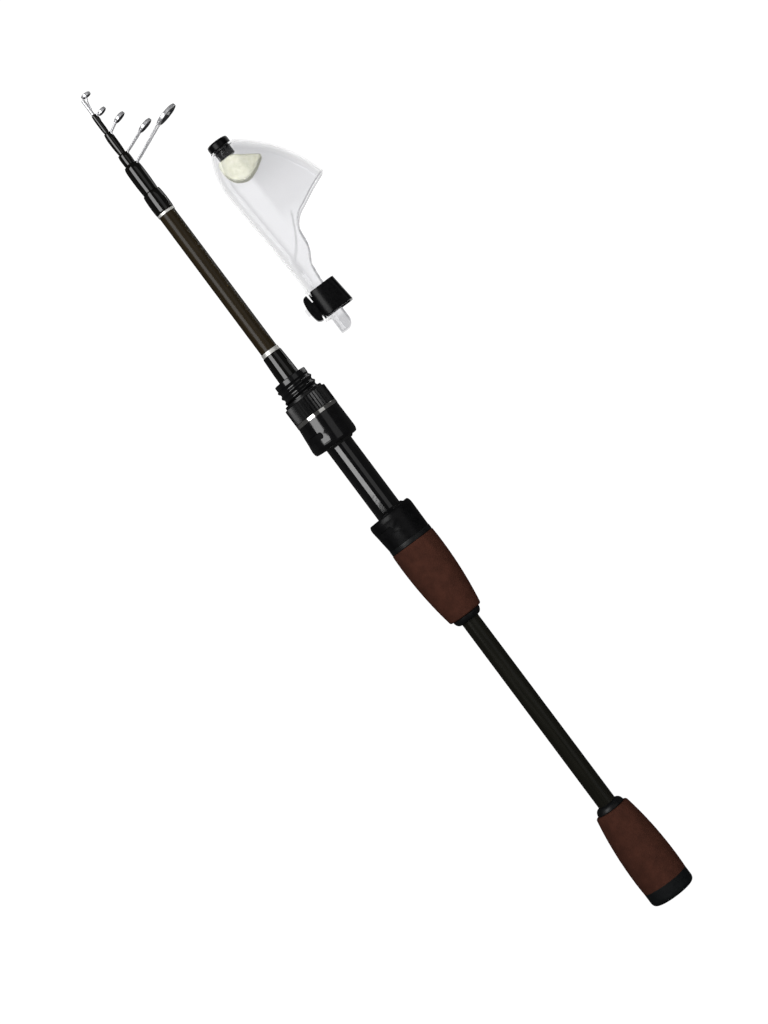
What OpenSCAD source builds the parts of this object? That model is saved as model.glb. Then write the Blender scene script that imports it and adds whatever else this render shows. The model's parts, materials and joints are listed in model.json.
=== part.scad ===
// Telescopic spinning rod, pushed together, with its clear tip cover lying beside it.
// X runs along the rod from the butt face at 0 towards the tip, and Z is up.
// The line guides and the tip cover lie on the -Y side, and a reel's foot on the +Y side.

/* [Butt cap] */
// Length of the butt cap
butt_cap_length = 9.3; // [8:0.1:14]
// Diameter of the butt cap
butt_cap_d = 28.2; // [24:0.1:34]
// Rounding of the butt cap's edge
butt_edge_r = 3.5; // [1:0.1:5]
// Depth that the screw plug goes into the butt cap
plug_seat = 5.3; // [3:0.1:6.5]
// Length of the screw plug past the butt cap
plug_length = 12.7; // [10:0.1:16]
// Gap between the butt cap and the blank's end
blank_inset = 0.7; // [0.3:0.1:2]
// Wall of the threaded insert in the blank's end
insert_wall = 0.8; // [0.6:0.05:1.1]
// Thickness of the cushion that stops the inner sections
cushion_length = 5; // [3:0.1:8]
// Room between the screw plug and the insert's thread
plug_gap = 0.08; // [0.05:0.01:0.12]
// Room round the cushion inside the insert
cushion_gap = 0.4; // [0.3:0.05:0.8]

/* [Grips] */
// Length of the rear grip
rear_grip_length = 50.3; // [40:0.1:120]
// Greatest diameter of the rear grip
rear_grip_d = 28.7; // [25:0.1:34]
// Length of the fore grip
fore_grip_length = 50.2; // [40:0.1:120]
// Greatest diameter of the fore grip
fore_grip_d = 28.2; // [25:0.1:34]
// Diameter of a grip's thin end
grip_thin_d = 21.4; // [19:0.1:24]
// Drop of a grip's radius from its belly to its thick end
grip_thick_drop = 0.25; // [0:0.05:1]
// Distance from a grip's thick end to its belly
grip_belly = 8.5; // [5:0.1:14]
// Rounding of a grip's thin edge
grip_edge_r = 1.2; // [0.5:0.1:2]
// Bare handle between the grips
handle_length = 129.1; // [60:0.1:220]
// Length of the domed ring at each grip's thin end
check_length = 4; // [3:0.1:6]
// Diameter of the domed ring
check_d = 17.6; // [15:0.1:20]
// Length of the trim ring at the reel seat
trim_ring_length = 3.1; // [2:0.1:6]
// Diameter of the trim ring
trim_ring_d = 27.3; // [24:0.1:32]

/* [Reel seat] */
// Diameter of the seat tube that the reel foot lies on
seat_tube_d = 16; // [15.2:0.1:18]
// Wall of the seat tube
seat_tube_wall = 1.1; // [0.8:0.1:1.5]
// Length of an arbor between the blank and the seat tube
arbor_length = 10; // [6:0.5:14]
// Length of each hood
hood_length = 18.5; // [16:0.1:24]
// Diameter of the hoods
hood_d = 26.8; // [26:0.1:32]
// Rise of a hood's mouth on the reel foot's side
hood_flare = 1.7; // [1:0.1:3]
// Depth of the rounding at a hood's mouth
hood_edge_r = 1.4; // [0.8:0.1:2]
// Length of that rounding
hood_edge_length = 3.4; // [1:0.1:5]
// Clear length between the two mouths
foot_gap = 48.6; // [40:0.1:60]
// Width of the pockets for the reel foot
foot_w = 16.4; // [14:0.1:18]
// Depth of the pockets
pocket_depth = 10.5; // [8:0.1:12]
// Wall of a hood over its pocket
pocket_wall = 1.6; // [1.2:0.1:2]
// Width of the sunk slot round each hood
slot_w = 3.8; // [2:0.1:5]
// Depth of the sunk slot
slot_depth = 0.6; // [0.3:0.1:0.8]
// Distance from a mouth to the slot's middle line
slot_from_mouth = 8.4; // [6:0.1:10]
// Angle that the slot reaches to each side
slot_reach = 75; // [40:1:85]
// Length of the lip past a hood's mouth
lip_length = 1.6; // [1:0.1:2.5]
// Depth of the sliding hood's liner behind the mouth
liner_depth = 2.4; // [1.5:0.1:3]
// Running room between the liner and the seat tube
liner_gap = 0.3; // [0.2:0.05:0.5]

/* [Hood nut] */
// Length of the nut, with its flange
nut_length = 12.2; // [9:0.1:16]
// Diameter over the nut's ribs
nut_d = 27.2; // [26:0.1:32]
// Count of ribs round the nut
nut_ribs = 44; // [24:1:60]
// Height of the ribs
nut_rib_h = 0.75; // [0.4:0.05:0.9]
// Length of the flange at the nut's front
nut_flange_length = 1.7; // [1:0.1:3]
// Diameter of that flange
nut_flange_d = 24.5; // [23.5:0.1:26]
// Length of the bright ring behind the nut
nut_ring_length = 2.4; // [1.5:0.1:4]
// Length of the nut's skirt inside the hood
skirt_length = 3.8; // [3:0.1:5]
// Thickness of that skirt
skirt_wall = 0.6; // [0.5:0.05:0.8]
// Height of the bead that keeps the hood on the nut
bead_height = 0.35; // [0.2:0.05:0.5]
// Room between the hood and the nut
nut_gap = 0.2; // [0.1:0.05:0.3]
// Crest diameter of the thread
thread_d = 21.9; // [21:0.1:22.4]
// Depth of the thread
thread_depth = 0.95; // [0.6:0.05:1.2]
// Pitch of the thread
thread_pitch = 3.65; // [3:0.05:4.5]
// Length of the threaded sleeve
sleeve_length = 38.6; // [36:0.1:50]
// Distance from the sliding hood's mouth to the sleeve
sleeve_behind_mouth = 7.2; // [6.8:0.1:9]
// Length of the plain collar at the sleeve's front
sleeve_collar_length = 3.4; // [3:0.1:6]
// Diameter of the plain collar
sleeve_collar_d = 20.5; // [19.5:0.1:21.5]
// Room between the nut's thread and the sleeve's
thread_gap = 0.25; // [0.2:0.05:0.35]
// Room between the sliding hood and the thread's crest
hood_gap = 0.35; // [0.25:0.05:0.5]
// Turns that the nut can drive the hood back from rest
nut_turns_back = 2.25; // [1:0.25:3]
// Width of the keyway under the seat tube
keyway_w = 3; // [2:0.1:4]
// Depth of that keyway
keyway_depth = 0.6; // [0.3:0.1:0.7]
// Room round the liner's key in the keyway
key_gap = 0.25; // [0.15:0.05:0.3]

/* [Blank] */
// Diameter of the tip rod at its tip
tip_rod_d = 1.25; // [1:0.05:1.6]
// Wall of the main blank at its tip
wall_1 = 0.92; // [0.7:0.01:1.2]
// Wall of the second section
wall_2 = 0.85; // [0.5:0.01:1]
// Wall of the third section
wall_3 = 0.5; // [0.4:0.01:0.7]
// Wall of the fourth section
wall_4 = 0.42; // [0.3:0.01:0.6]
// Wall of the fifth section
wall_5 = 0.35; // [0.3:0.01:0.5]
// Growth of the main blank's diameter for each millimetre towards the butt
main_taper = 0.0017; // [0.0013:0.0001:0.003]
// Room round each section when it is pushed in
rest_gap = 0.3; // [0.2:0.01:0.4]
// Room round each section when it is drawn out
drawn_gap = 0.04; // [0.02:0.01:0.08]
// Length that stays inside the next section when drawn out
joint_overlap = 65; // [50:1:90]
// Room between the stacked ends when pushed in
stack_gap = 0.2; // [0.1:0.05:0.4]
// Length of the winding in front of the reel seat
front_winding_length = 16.6; // [10:0.1:24]
// Thickness of that winding at the reel seat
front_winding_t = 1.3; // [0.8:0.1:1.6]
// Thickness of that winding at its front
front_winding_end_t = 0.75; // [0.4:0.05:1.2]
// Length of the bright band at the reel seat
front_band_length = 2.4; // [1:0.1:4]
// Thickness of the bright bands
band_t = 0.35; // [0.2:0.05:0.6]
// Bare main blank between the bright bands
bare_blank_length = 96.3; // [60:0.1:160]
// Length of the bright band at the main blank's tip
tip_band_length = 1.5; // [1:0.1:4]
// Length of the winding at the main blank's tip
tip_winding_length = 13.4; // [8:0.1:20]
// Thickness of that winding
tip_winding_t = 0.65; // [0.4:0.05:1]

/* [Section collars] */
// Length of the second section's collar
collar_2_length = 19.1; // [14:0.1:24]
// Thickness of the second section's collar
collar_2_t = 1.02; // [0.8:0.02:1.2]
// Length of the third section's collar
collar_3_length = 7.6; // [6:0.1:12]
// Thickness of the third section's collar
collar_3_t = 0.6; // [0.5:0.02:0.8]
// Length of the fourth section's collar
collar_4_length = 14.3; // [10:0.1:18]
// Thickness of the fourth section's collar
collar_4_t = 0.6; // [0.5:0.02:0.8]
// Length of the fifth section's collar
collar_5_length = 12.6; // [9:0.1:16]
// Thickness of the fifth section's collar
collar_5_t = 0.48; // [0.4:0.02:0.6]
// Length of a collar's tapered nose
collar_nose = 1.6; // [1:0.1:2.5]

/* [Line guides] */
// Ring diameter of the second section's guide
guide_2_ring_d = 15.1; // [12:0.1:17]
// Height of that ring's centre over the rod's axis
guide_2_height = 33; // [31:0.1:40]
// Distance of that ring's centre past the collar's front
guide_2_ahead = 10.9; // [9:0.1:13]
// Ring diameter of the third section's guide
guide_3_ring_d = 9.7; // [8:0.1:10.5]
// Height of that ring's centre over the rod's axis
guide_3_height = 19.8; // [18:0.1:20.5]
// Distance of that ring's centre past the collar's front
guide_3_ahead = 5.4; // [5:0.1:7]
// Ring diameter of the fourth section's guide
guide_4_ring_d = 7.8; // [6.5:0.1:8.5]
// Height of that ring's centre over the rod's axis
guide_4_height = 10.9; // [9:0.1:11.5]
// Distance of that ring's centre past the collar's front
guide_4_ahead = 3.2; // [2.5:0.1:4]
// Ring diameter of the fifth section's guide
guide_5_ring_d = 5.8; // [5:0.1:6.2]
// Height of that ring's centre over the rod's axis
guide_5_height = 5; // [4.8:0.1:6]
// Distance of that ring's centre past the collar's front
guide_5_ahead = -0.9; // [-1.5:0.1:0]
// Lean of the guides towards the tip
guide_lean = 14; // [8:1:20]
// Diameter of the guides' wire legs
leg_d = 0.9; // [0.7:0.05:1]
// Thickness of a guide's metal ring
ring_wall = 0.7; // [0.5:0.05:0.9]
// Width of a guide's metal ring along the line
ring_width = 1.7; // [1.4:0.1:2.2]
// Thickness of a guide's hard lining
lining_wall = 0.7; // [0.5:0.05:0.8]
// Width of the hard lining along the line
lining_width = 2.3; // [2:0.1:2.8]

/* [Tip top] */
// Length of the tip top's tube
tip_tube_length = 9.8; // [7:0.1:13]
// Wall of that tube
tip_tube_wall = 0.37; // [0.3:0.01:0.5]
// Ring diameter of the tip top
tip_ring_d = 5.8; // [5:0.1:7]
// Height of the tip ring's centre over the rod's axis
tip_ring_height = 3.2; // [2.9:0.1:4]
// Distance of the tip ring's centre past the tube
tip_ring_ahead = 1.6; // [1.3:0.1:2.5]
// Diameter of the tip top's wires
tip_wire_d = 0.6; // [0.5:0.05:0.6]
// Distance of the braces' feet behind the tube's front
brace_length = 5.4; // [4:0.1:7]

/* [Tip cover] */
// Place of the strap's middle along the rod
cover_x = 386; // [370:0.5:395]
// Distance of the cover's neck from the rod's axis
cover_offset = 42; // [41:0.1:60]
// Length of the cover from the strap's middle to its front
cover_length = 104.2; // [96:0.1:115]
// Width of the cover's chamber, across its flat sides
chamber_w = 19; // [18:0.1:24]
// Rounding of the chamber's edges
chamber_edge_r = 5.6; // [3:0.1:6.5]
// Wall of the cover
cover_wall = 1.3; // [1:0.1:1.6]
// Height of the front face
front_face_h = 15.2; // [14.6:0.1:18]
// Height of the front face's middle over the neck
front_face_rise = 5.1; // [3:0.1:7]
// Distance of the mouth's far corner past the strap
corner_ahead = 59; // [54:0.1:66]
// Height of the mouth's far corner over the neck
corner_rise = 43.5; // [40:0.1:48]
// Bulge of the chamber's back between the corner and the front
back_bulge = 5; // [3:0.1:7]
// Depth of the neck, from its spine to its rim
neck_h = 11.4; // [10:0.1:13]
// Room between the neck and the blank that it holds
neck_gap = 0.25; // [0.1:0.05:0.5]
// Length of the neck in front of the strap's middle
neck_length = 20; // [17:0.1:23]
// Length of the tongue behind the strap's middle
tongue_length = 20.6; // [16:0.1:24]
// Diameter of the plug's head
cover_plug_d = 13.4; // [12.4:0.1:14.4]
// Thickness of the plug's head
cover_plug_t = 4.6; // [3:0.1:6]
// Diameter of the plug's stem
plug_stem_d = 10.4; // [8:0.1:11]
// Length of the plug's stem
plug_stem_length = 6.2; // [4:0.1:8]
// Long side of the foam pad
pad_long = 20; // [16:0.1:22]
// Short side of the foam pad
pad_short = 17; // [14:0.1:18]
// Thickness of the foam pad
pad_t = 14.6; // [12:0.1:15.2]
// Width of the strap along the neck
strap_w = 16.8; // [12:0.1:19]
// Thickness of the strap
strap_t = 1.5; // [1:0.1:2]
// Height of the strap's loop over the neck's rim
strap_slack = 7.1; // [5:0.1:9]
// Thickness of the strap's end on the peg
strap_end_t = 3.6; // [2.5:0.1:5]
// Diameter of the strap's peg
peg_d = 3; // [2:0.1:4]
// Thickness of the peg's head
peg_head_t = 1.6; // [1:0.1:2.5]

/* [Hidden] */
$fn = 48;
eps = 0.01;

// Stations along the rod, from the butt
x_cap = butt_cap_length;
x_blank = x_cap + blank_inset;
x_plug_end = x_cap + plug_length;
x_stop = x_plug_end + cushion_length;
x_rear_front = x_cap + rear_grip_length;
x_handle = x_rear_front + check_length;
x_handle_end = x_handle + handle_length;
x_fore = x_handle_end + check_length;
x_fore_front = x_fore + fore_grip_length;
x_seat = x_fore_front + trim_ring_length;
x_fixed_mouth = x_seat + hood_length;
x_mouth = x_fixed_mouth + foot_gap;
x_hood_front = x_mouth + hood_length;
x_nut_ring = x_hood_front + nut_gap / 2;
x_nut = x_nut_ring + nut_ring_length;
x_nut_front = x_nut + nut_length;
x_sleeve = x_mouth + sleeve_behind_mouth;
x_sleeve_front = x_sleeve + sleeve_length;
x_sleeve_collar = x_sleeve_front - sleeve_collar_length;
x_winding_front = x_sleeve_front + front_winding_length;
x_band_front = x_winding_front + front_band_length;
x_tip_band = x_band_front + bare_blank_length;
x_tip_winding = x_tip_band + tip_band_length;
x_main_tip = x_tip_winding + tip_winding_length;

// Sections count from 1, the main blank, to 6, the tip rod. Index 0 is unused.
walls = [0, wall_1, wall_2, wall_3, wall_4, wall_5];
collar_lengths = [0, 0, collar_2_length, collar_3_length, collar_4_length, collar_5_length];
collar_ts = [0, 0, collar_2_t, collar_3_t, collar_4_t, collar_5_t];
x_section = x_stop + stack_gap;
function tip_x(i) = i == 1 ? x_main_tip : collar_x(i) + (i == 6 ? tip_tube_length : collar_lengths[i]);
function collar_x(i) = tip_x(i - 1) + stack_gap;
function stroke(i) = floor(collar_x(i) - x_section - joint_overlap);
function taper(i) = i == 1 ? main_taper : 2 * (rest_gap - drawn_gap) / stroke(i);
function tip_d(i) = i == 6 ? tip_rod_d : bore_d(i, tip_x(i)) + 2 * walls[i];
function outer_d(i, x) = tip_d(i) + taper(i) * (tip_x(i) - x);
function bore_d(i, x) = outer_d(i + 1, x) + 2 * rest_gap;

// Butt fitting
insert_bore_r = bore_d(1, x_stop) / 2 - insert_wall;
plug_r = insert_bore_r - plug_gap;
cushion_r = insert_bore_r - cushion_gap;

// Reel seat radii
hood_r = hood_d / 2;
flare_angle = atan(hood_flare / 2 / hood_length);
mouth_r = hood_r + hood_flare / 2;
thread_r = thread_d / 2 - thread_depth / 2;
thread_ecc = thread_depth / 2;
hood_bore_r = thread_d / 2 + hood_gap;
skirt_r = hood_bore_r + nut_gap + skirt_wall;
keyway_r = seat_tube_d / 2 - keyway_depth;
x_keyway = x_mouth - lip_length - nut_turns_back * thread_pitch - keyway_w;
thread_sides = 24;
rows_per_turn = 8;

// Guides: section, ring diameter, height and distance ahead
guides = [
    [2, guide_2_ring_d, guide_2_height, guide_2_ahead],
    [3, guide_3_ring_d, guide_3_height, guide_3_ahead],
    [4, guide_4_ring_d, guide_4_height, guide_4_ahead],
    [5, guide_5_ring_d, guide_5_height, guide_5_ahead],
];
collar_back = 0.65;
collar_front = 0.35;
grip_curve = 2.1;
grip_edge_angle = 72;
check_nose_t = 0.3;
trim_edge = 0.3;
tube_inset = 2;
foot_floor = 2;
lip_edge = 0.6;
lip_rise = 2.3;
lip_seat = 1;
key_root = 0.4;
bead_length = 1.2;
knuckle = 1.06;
leg_spread = 38;
foot_run = 2.6;
foot_gap_r = 0.05;
foot_spread = 32;

// Cover
floor_z = -max(rear_grip_d, fore_grip_d, butt_cap_d) / 2;
cover_z = floor_z + chamber_w / 2;
neck_bore_r = outer_d(1, x_band_front) / 2 + neck_gap;
neck_r = neck_bore_r + cover_wall;
neck_axis = neck_r - neck_h / 2;
strap_r = neck_r + nut_gap + strap_t;
strap_top = neck_h / 2 + strap_slack;
strap_corner_r = 3;
strap_back = neck_axis - strap_r;
strap_end_w = 10;
strap_end_bow = 2;
plug_drop = 0.5;
plug_rise = front_face_rise - plug_drop;
plug_edge_r = 1.6;
pad_turn = 54;
pad_behind = 10.6;
pad_rise = 3;
spine_ahead = 19;
spine_drop = 3.1;
spine_bulge = 2;
shoulder_low = 3;
shoulder_high = 11;
shoulder_rise = 8.8;
rim_back = 9;
rim_drop = 23.5;
shelf_front = 18;
shelf_end = 27;
shelf_rise = 7;
ramp_foot = 2;
rim_fillet = 5;
layer_t = 0.2;
rib_gap = 0.8;
rib_t = 1.2;
rib_h = 0.7;
tongue_t = 8.7;
tongue_r = 4.5;
peg_head_rim = 1.8;

// Points of an arc in the plane
function arc(centre, r, a0, a1, n = 6) =
    [for (i = [0:n]) centre + r * [cos(a0 + (a1 - a0) * i / n), sin(a0 + (a1 - a0) * i / n)]];

// Points of a bow from p to q that rises by h on its left side
function bow(p, q, h, n = 10) =
    let(c = norm(q - p), r = (c * c / 4 + h * h) / (2 * h), half = asin(c / 2 / r))
    let(along = (q - p) / c, left = [-along[1], along[0]], centre = (p + q) / 2 - left * (r - h))
    [for (i = [0:n]) let(a = half * (2 * i / n - 1)) centre + r * (along * sin(a) + left * cos(a))];

// Turns an outline of [x, radius] points round the rod's axis
module lathe(points) {
    rotate([0, 90, 0]) rotate_extrude() polygon([for (p = points) [p[1], p[0]]]);
}

// Round bar along the rod
module bar(x0, x1, r) {
    translate([x0, 0, 0]) rotate([0, 90, 0]) cylinder(h = x1 - x0, r = r);
}

// Round wire between two points, with a round knuckle at each end
module wire(p, q, d) {
    v = q - p;
    translate(p) rotate([0, acos(v[2] / norm(v)), atan2(v[1], v[0])]) cylinder(h = norm(v), d = d);
    for (end = [p, q]) translate(end) sphere(d = knuckle * d);
}

// Tube of a section, from its butt to its tip
module section_tube(i, x0) {
    x1 = tip_x(i);
    lathe([
        [x0, bore_d(i, x0) / 2], [x0, outer_d(i, x0) / 2],
        [x1, outer_d(i, x1) / 2], [x1, bore_d(i, x1) / 2],
    ]);
}

// Ring on the main blank, from an outline of [x, radius] points over it
module on_blank(x0, x1, outline) {
    lathe(concat([[x0, outer_d(1, x0) / 2]], outline, [[x1, outer_d(1, x1) / 2]]));
}

// Grip with its thick end at 0 and its thin end at length
function grip_outline(length, d) =
    let(thin = grip_thin_d / 2, drop = d / 2 - thin, run = length - grip_belly - grip_edge_r)
    concat(
        [[0, d / 2 - grip_thick_drop]],
        [for (i = [1:3]) [grip_belly * i / 4, d / 2 - grip_thick_drop * pow(1 - i / 4, 2)]],
        [for (i = [0:9]) [grip_belly + run * i / 9, d / 2 - drop * pow(i / 9, grip_curve)]],
        arc([length - grip_edge_r, thin - grip_edge_r], grip_edge_r, grip_edge_angle, 0, 4)
    );

// Domed ring, from its wide face at 0 to its nose
function check_outline(x) =
    let(nose = outer_d(1, x) / 2 + check_nose_t, rise = check_d / 2 - nose)
    [for (a = [0:15:90]) [check_length * sin(a), nose + rise * cos(a)]];

// Points in reverse order, mirrored along the rod about x
function mirrored(points, x) = [for (i = [len(points) - 1:-1:0]) [x - points[i][0], points[i][1]]];
function shifted(points, x) = [for (p = points) [x + p[0], p[1]]];

module main_blank() {
    color("#2a2117") section_tube(1, x_blank);
}

module butt_insert() {
    color("#202020") lathe([
        [x_blank, insert_bore_r], [x_blank, bore_d(1, x_blank) / 2],
        [x_stop, bore_d(1, x_stop) / 2], [x_stop, insert_bore_r],
    ]);
}

module rear_grip() {
    outline = shifted(grip_outline(rear_grip_length, rear_grip_d), x_cap);
    color("#432820") on_blank(x_cap, x_rear_front, outline);
}

module fore_grip() {
    outline = mirrored(grip_outline(fore_grip_length, fore_grip_d), x_fore_front);
    color("#432820") on_blank(x_fore, x_fore_front, outline);
}

module rear_check() {
    color("#161616") on_blank(x_rear_front, x_handle, shifted(check_outline(x_handle), x_rear_front));
}

module fore_check() {
    color("#161616") on_blank(x_handle_end, x_fore, mirrored(check_outline(x_handle_end), x_fore));
}

module trim_ring() {
    r = trim_ring_d / 2;
    color("#141414") on_blank(x_fore_front, x_seat, [
        [x_fore_front, r - trim_edge], [x_fore_front + trim_edge, r],
        [x_seat - trim_edge, r], [x_seat, r - trim_edge],
    ]);
}

module seat_tube() {
    r = seat_tube_d / 2;
    color("#0c0c0c") difference() {
        lathe([
            [x_seat, r - seat_tube_wall], [x_seat, r],
            [x_sleeve_front - tube_inset, r], [x_sleeve_front - tube_inset, r - seat_tube_wall],
        ]);
        translate([x_keyway, -keyway_w / 2, -keyway_r - r]) cube([x_sleeve - x_keyway, keyway_w, r]);
    }
}

module seat_arbors() {
    first = x_seat + tube_inset;
    last = x_sleeve_front - 2 * tube_inset - arbor_length;
    color("#8a7a5c") for (x = [first, (first + last) / 2, last]) {
        on_blank(x, x + arbor_length, [
            [x, seat_tube_d / 2 - seat_tube_wall], [x + arbor_length, seat_tube_d / 2 - seat_tube_wall],
        ]);
    }
}

// Tilts what is drawn about the middle of a hood's back, so that its mouth rises towards the reel foot
module flared() {
    translate([hood_length, 0, 0]) rotate([0, 0, -flare_angle]) translate([-hood_length, 0, 0]) children();
}

// Outside of a hood with its mouth at 0 and its back at hood_length
module hood_body() {
    difference() {
        flared() lathe(concat(
            [[0, 0]],
            [for (p = arc([1, -1], 1, 180, 90)) [hood_edge_length * p[0], mouth_r + hood_edge_r * p[1]]],
            [[hood_length, hood_r], [2 * hood_length, hood_r], [2 * hood_length, 0]]
        ));
        translate([hood_length, -2 * hood_r, -2 * hood_r]) cube(4 * hood_r);
    }
}

// Sunk slot with round ends that runs round the reel foot's side of a hood
module hood_slot() {
    floor_r = mouth_r - (mouth_r - hood_r) * slot_from_mouth / hood_length - slot_depth;
    flared() translate([slot_from_mouth, 0, 0]) {
        rotate([90 - slot_reach, 0, 0]) rotate([0, 90, 0]) rotate_extrude(angle = 2 * slot_reach)
            translate([floor_r, -slot_w / 2]) square([hood_r, slot_w]);
        for (side = [-1, 1]) rotate([side * slot_reach, 0, 0]) rotate([-90, 0, 0])
            translate([0, 0, floor_r]) cylinder(h = hood_r, d = knuckle * slot_w);
    }
}

// Room for the reel foot, open at the mouth
module foot_pocket() {
    intersection() {
        flared() bar(-hood_r, pocket_depth, mouth_r - pocket_wall);
        foot_space();
    }
}

module foot_space() {
    translate([-hood_length, foot_floor, -foot_w / 2]) cube([2 * hood_length, 2 * hood_r, foot_w]);
}

// Lip round the seat tube at a hood's mouth, open on the reel foot's side
module hood_lip(bore_r, root_r, root_x) {
    difference() {
        lathe([
            [-lip_length, bore_r], [-lip_length, bore_r + lip_edge],
            [0, bore_r + lip_rise], [0, root_r], [root_x, root_r], [root_x, bore_r],
        ]);
        foot_space();
    }
}

module fixed_hood() {
    color("#101010") translate([x_fixed_mouth, 0, 0]) mirror([1, 0, 0]) {
        difference() {
            hood_body();
            bar(-hood_flare, hood_length + eps, seat_tube_d / 2);
            foot_pocket();
            hood_slot();
        }
        hood_lip(seat_tube_d / 2, seat_tube_d / 2 + lip_rise, lip_seat);
    }
}

module sliding_hood() {
    counterbore = hood_length - skirt_length - nut_gap;
    color("#101010") translate([x_mouth, 0, 0]) difference() {
        hood_body();
        bar(-hood_flare, hood_length + eps, hood_bore_r);
        foot_pocket();
        hood_slot();
        bar(counterbore, hood_length + eps, skirt_r + nut_gap);
        bar(counterbore, counterbore + bead_length + 2 * nut_gap, skirt_r + bead_height + nut_gap);
    }
}

// Lining of the sliding hood, with a key in the seat tube's keyway that stops the hood from turning
module hood_liner() {
    bore_r = seat_tube_d / 2 + liner_gap;
    color("#1a1a1a") translate([x_mouth, 0, 0]) {
        hood_lip(bore_r, hood_bore_r, liner_depth);
        translate([-lip_length, -keyway_w / 2 + key_gap, -bore_r - key_root])
            cube([lip_length + liner_depth, keyway_w - 2 * key_gap, bore_r + key_root - keyway_r - key_gap]);
    }
}

// Rounded thread: rows of an off-centre circle whose centre goes round along the rod
module thread(x0, x1, gap) {
    r = thread_r + gap;
    n = thread_sides;
    rows = ceil((x1 - x0) / thread_pitch * rows_per_turn);
    points = [for (i = [0:rows], j = [0:n - 1])
        let (x = x0 + (x1 - x0) * i / rows, turn = 360 * (x - x_sleeve) / thread_pitch, a = 360 * j / n)
        [x, thread_ecc * sin(turn) + r * sin(a), -thread_ecc * cos(turn) - r * cos(a)]];
    lower = [for (i = [1:rows], j = [0:n - 1]) [i * n - n + j, i * n + j, i * n + (j + 1) % n]];
    upper = [for (i = [1:rows], j = [0:n - 1]) [i * n - n + j, i * n + (j + 1) % n, i * n - n + (j + 1) % n]];
    back = [for (j = [0:n - 1]) j];
    front = [for (j = [1:n]) (rows + 1) * n - j];
    polyhedron(points, concat(lower, upper, [back, front]));
}

module thread_sleeve() {
    color("#121212") difference() {
        thread(x_sleeve, x_sleeve_collar, 0);
        bar(x_sleeve - eps, x_sleeve_collar + eps, seat_tube_d / 2);
    }
}

module sleeve_collar() {
    r = sleeve_collar_d / 2;
    color("#121212") lathe([
        [x_sleeve_collar, seat_tube_d / 2], [x_sleeve_collar, r],
        [x_sleeve_front - trim_edge, r], [x_sleeve_front, r - trim_edge], [x_sleeve_front, seat_tube_d / 2],
    ]);
}

module hood_nut() {
    x_skirt = x_nut - nut_ring_length - nut_gap / 2 - skirt_length;
    x_flange = x_nut_front - nut_flange_length;
    color("#121212") {
        difference() {
            union() {
                translate([x_nut, 0, 0]) rotate([0, 90, 0]) linear_extrude(x_flange - x_nut) nut_section();
                bar(x_flange, x_nut_front, nut_flange_d / 2);
            }
            thread(x_nut - eps, x_nut_front + eps, thread_gap);
        }
        lathe([
            [x_skirt, skirt_r - skirt_wall], [x_skirt, skirt_r + bead_height],
            [x_skirt + bead_length, skirt_r + bead_height], [x_skirt + bead_length, skirt_r],
            [x_nut + skirt_wall, skirt_r], [x_nut + skirt_wall, skirt_r - skirt_wall],
        ]);
    }
}

// Outline of the nut, with pointed ribs
module nut_section() {
    polygon([for (i = [1:2 * nut_ribs])
        (nut_d / 2 - (i % 2) * nut_rib_h) * [cos(180 * i / nut_ribs), sin(180 * i / nut_ribs)]]);
}

module nut_ring() {
    r = nut_d / 2;
    color("#d8d8d8") lathe([
        [x_nut_ring, skirt_r], [x_nut_ring, r - trim_edge], [x_nut_ring + trim_edge, r],
        [x_nut - trim_edge, r], [x_nut, r - trim_edge], [x_nut, skirt_r],
    ]);
}

module front_winding() {
    r0 = outer_d(1, x_sleeve_front) / 2 + front_winding_t;
    r1 = outer_d(1, x_winding_front) / 2 + front_winding_end_t;
    color("#0e0e0e") on_blank(x_sleeve_front, x_winding_front, [
        [x_sleeve_front, r0], [x_winding_front - trim_edge, r1], [x_winding_front, r1 - trim_edge / 2],
    ]);
}

// Bright band on the main blank
module band(x0, x1) {
    r = outer_d(1, x0) / 2 + band_t;
    color("#c8c8c4") on_blank(x0, x1, [[x0, r], [x1, r]]);
}

module front_band() {
    band(x_winding_front, x_band_front);
}

module tip_band() {
    band(x_tip_band, x_tip_winding);
}

module tip_winding() {
    r = outer_d(1, x_tip_winding) / 2 + tip_winding_t;
    color("#0e0e0e") on_blank(x_tip_winding, x_main_tip, [
        [x_tip_winding, r - tip_winding_t / 2], [x_tip_winding + collar_nose, r - tip_winding_t / 8],
        [x_tip_winding + tip_winding_length / 2, r], [x_main_tip - 2 * collar_nose, r - tip_winding_t / 4],
        [x_main_tip, r - 3 * tip_winding_t / 4],
    ]);
}

module butt_cap() {
    r = butt_cap_d / 2;
    color("#151515") lathe(concat(
        [[0, 0]],
        arc([butt_edge_r, r - butt_edge_r], butt_edge_r, 180, 90),
        [[x_cap, r], [x_cap, plug_r], [x_cap - plug_seat, plug_r], [x_cap - plug_seat, 0]]
    ));
}

module butt_plug() {
    color("#262626") bar(x_cap - plug_seat, x_plug_end, plug_r);
}

module butt_cushion() {
    color("#3a3a3a") bar(x_plug_end, x_stop, cushion_r);
}

// Glossy winding over a section's tip, which holds the guide's feet
module collar(i) {
    x0 = collar_x(i);
    x1 = tip_x(i);
    r0 = outer_d(i, x0) / 2;
    r1 = outer_d(i, x1) / 2;
    t = collar_ts[i];
    color("#0e0e0e") lathe([
        [x0, r0], [x0, r0 + collar_back * t], [x0 + collar_nose / 2, r0 + (1 + collar_back) / 2 * t],
        [(x0 + x1) / 2, r0 + t], [x1 - collar_nose, r1 + t],
        [x1 - collar_nose / 2, r1 + (1 + collar_front) / 2 * t], [x1, r1 + collar_front * t], [x1, r1],
    ]);
}

// Turns a guide from +Y, where it is drawn, to its own side of the rod
module guide_side() {
    rotate([180, 0, 0]) children();
}

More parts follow.
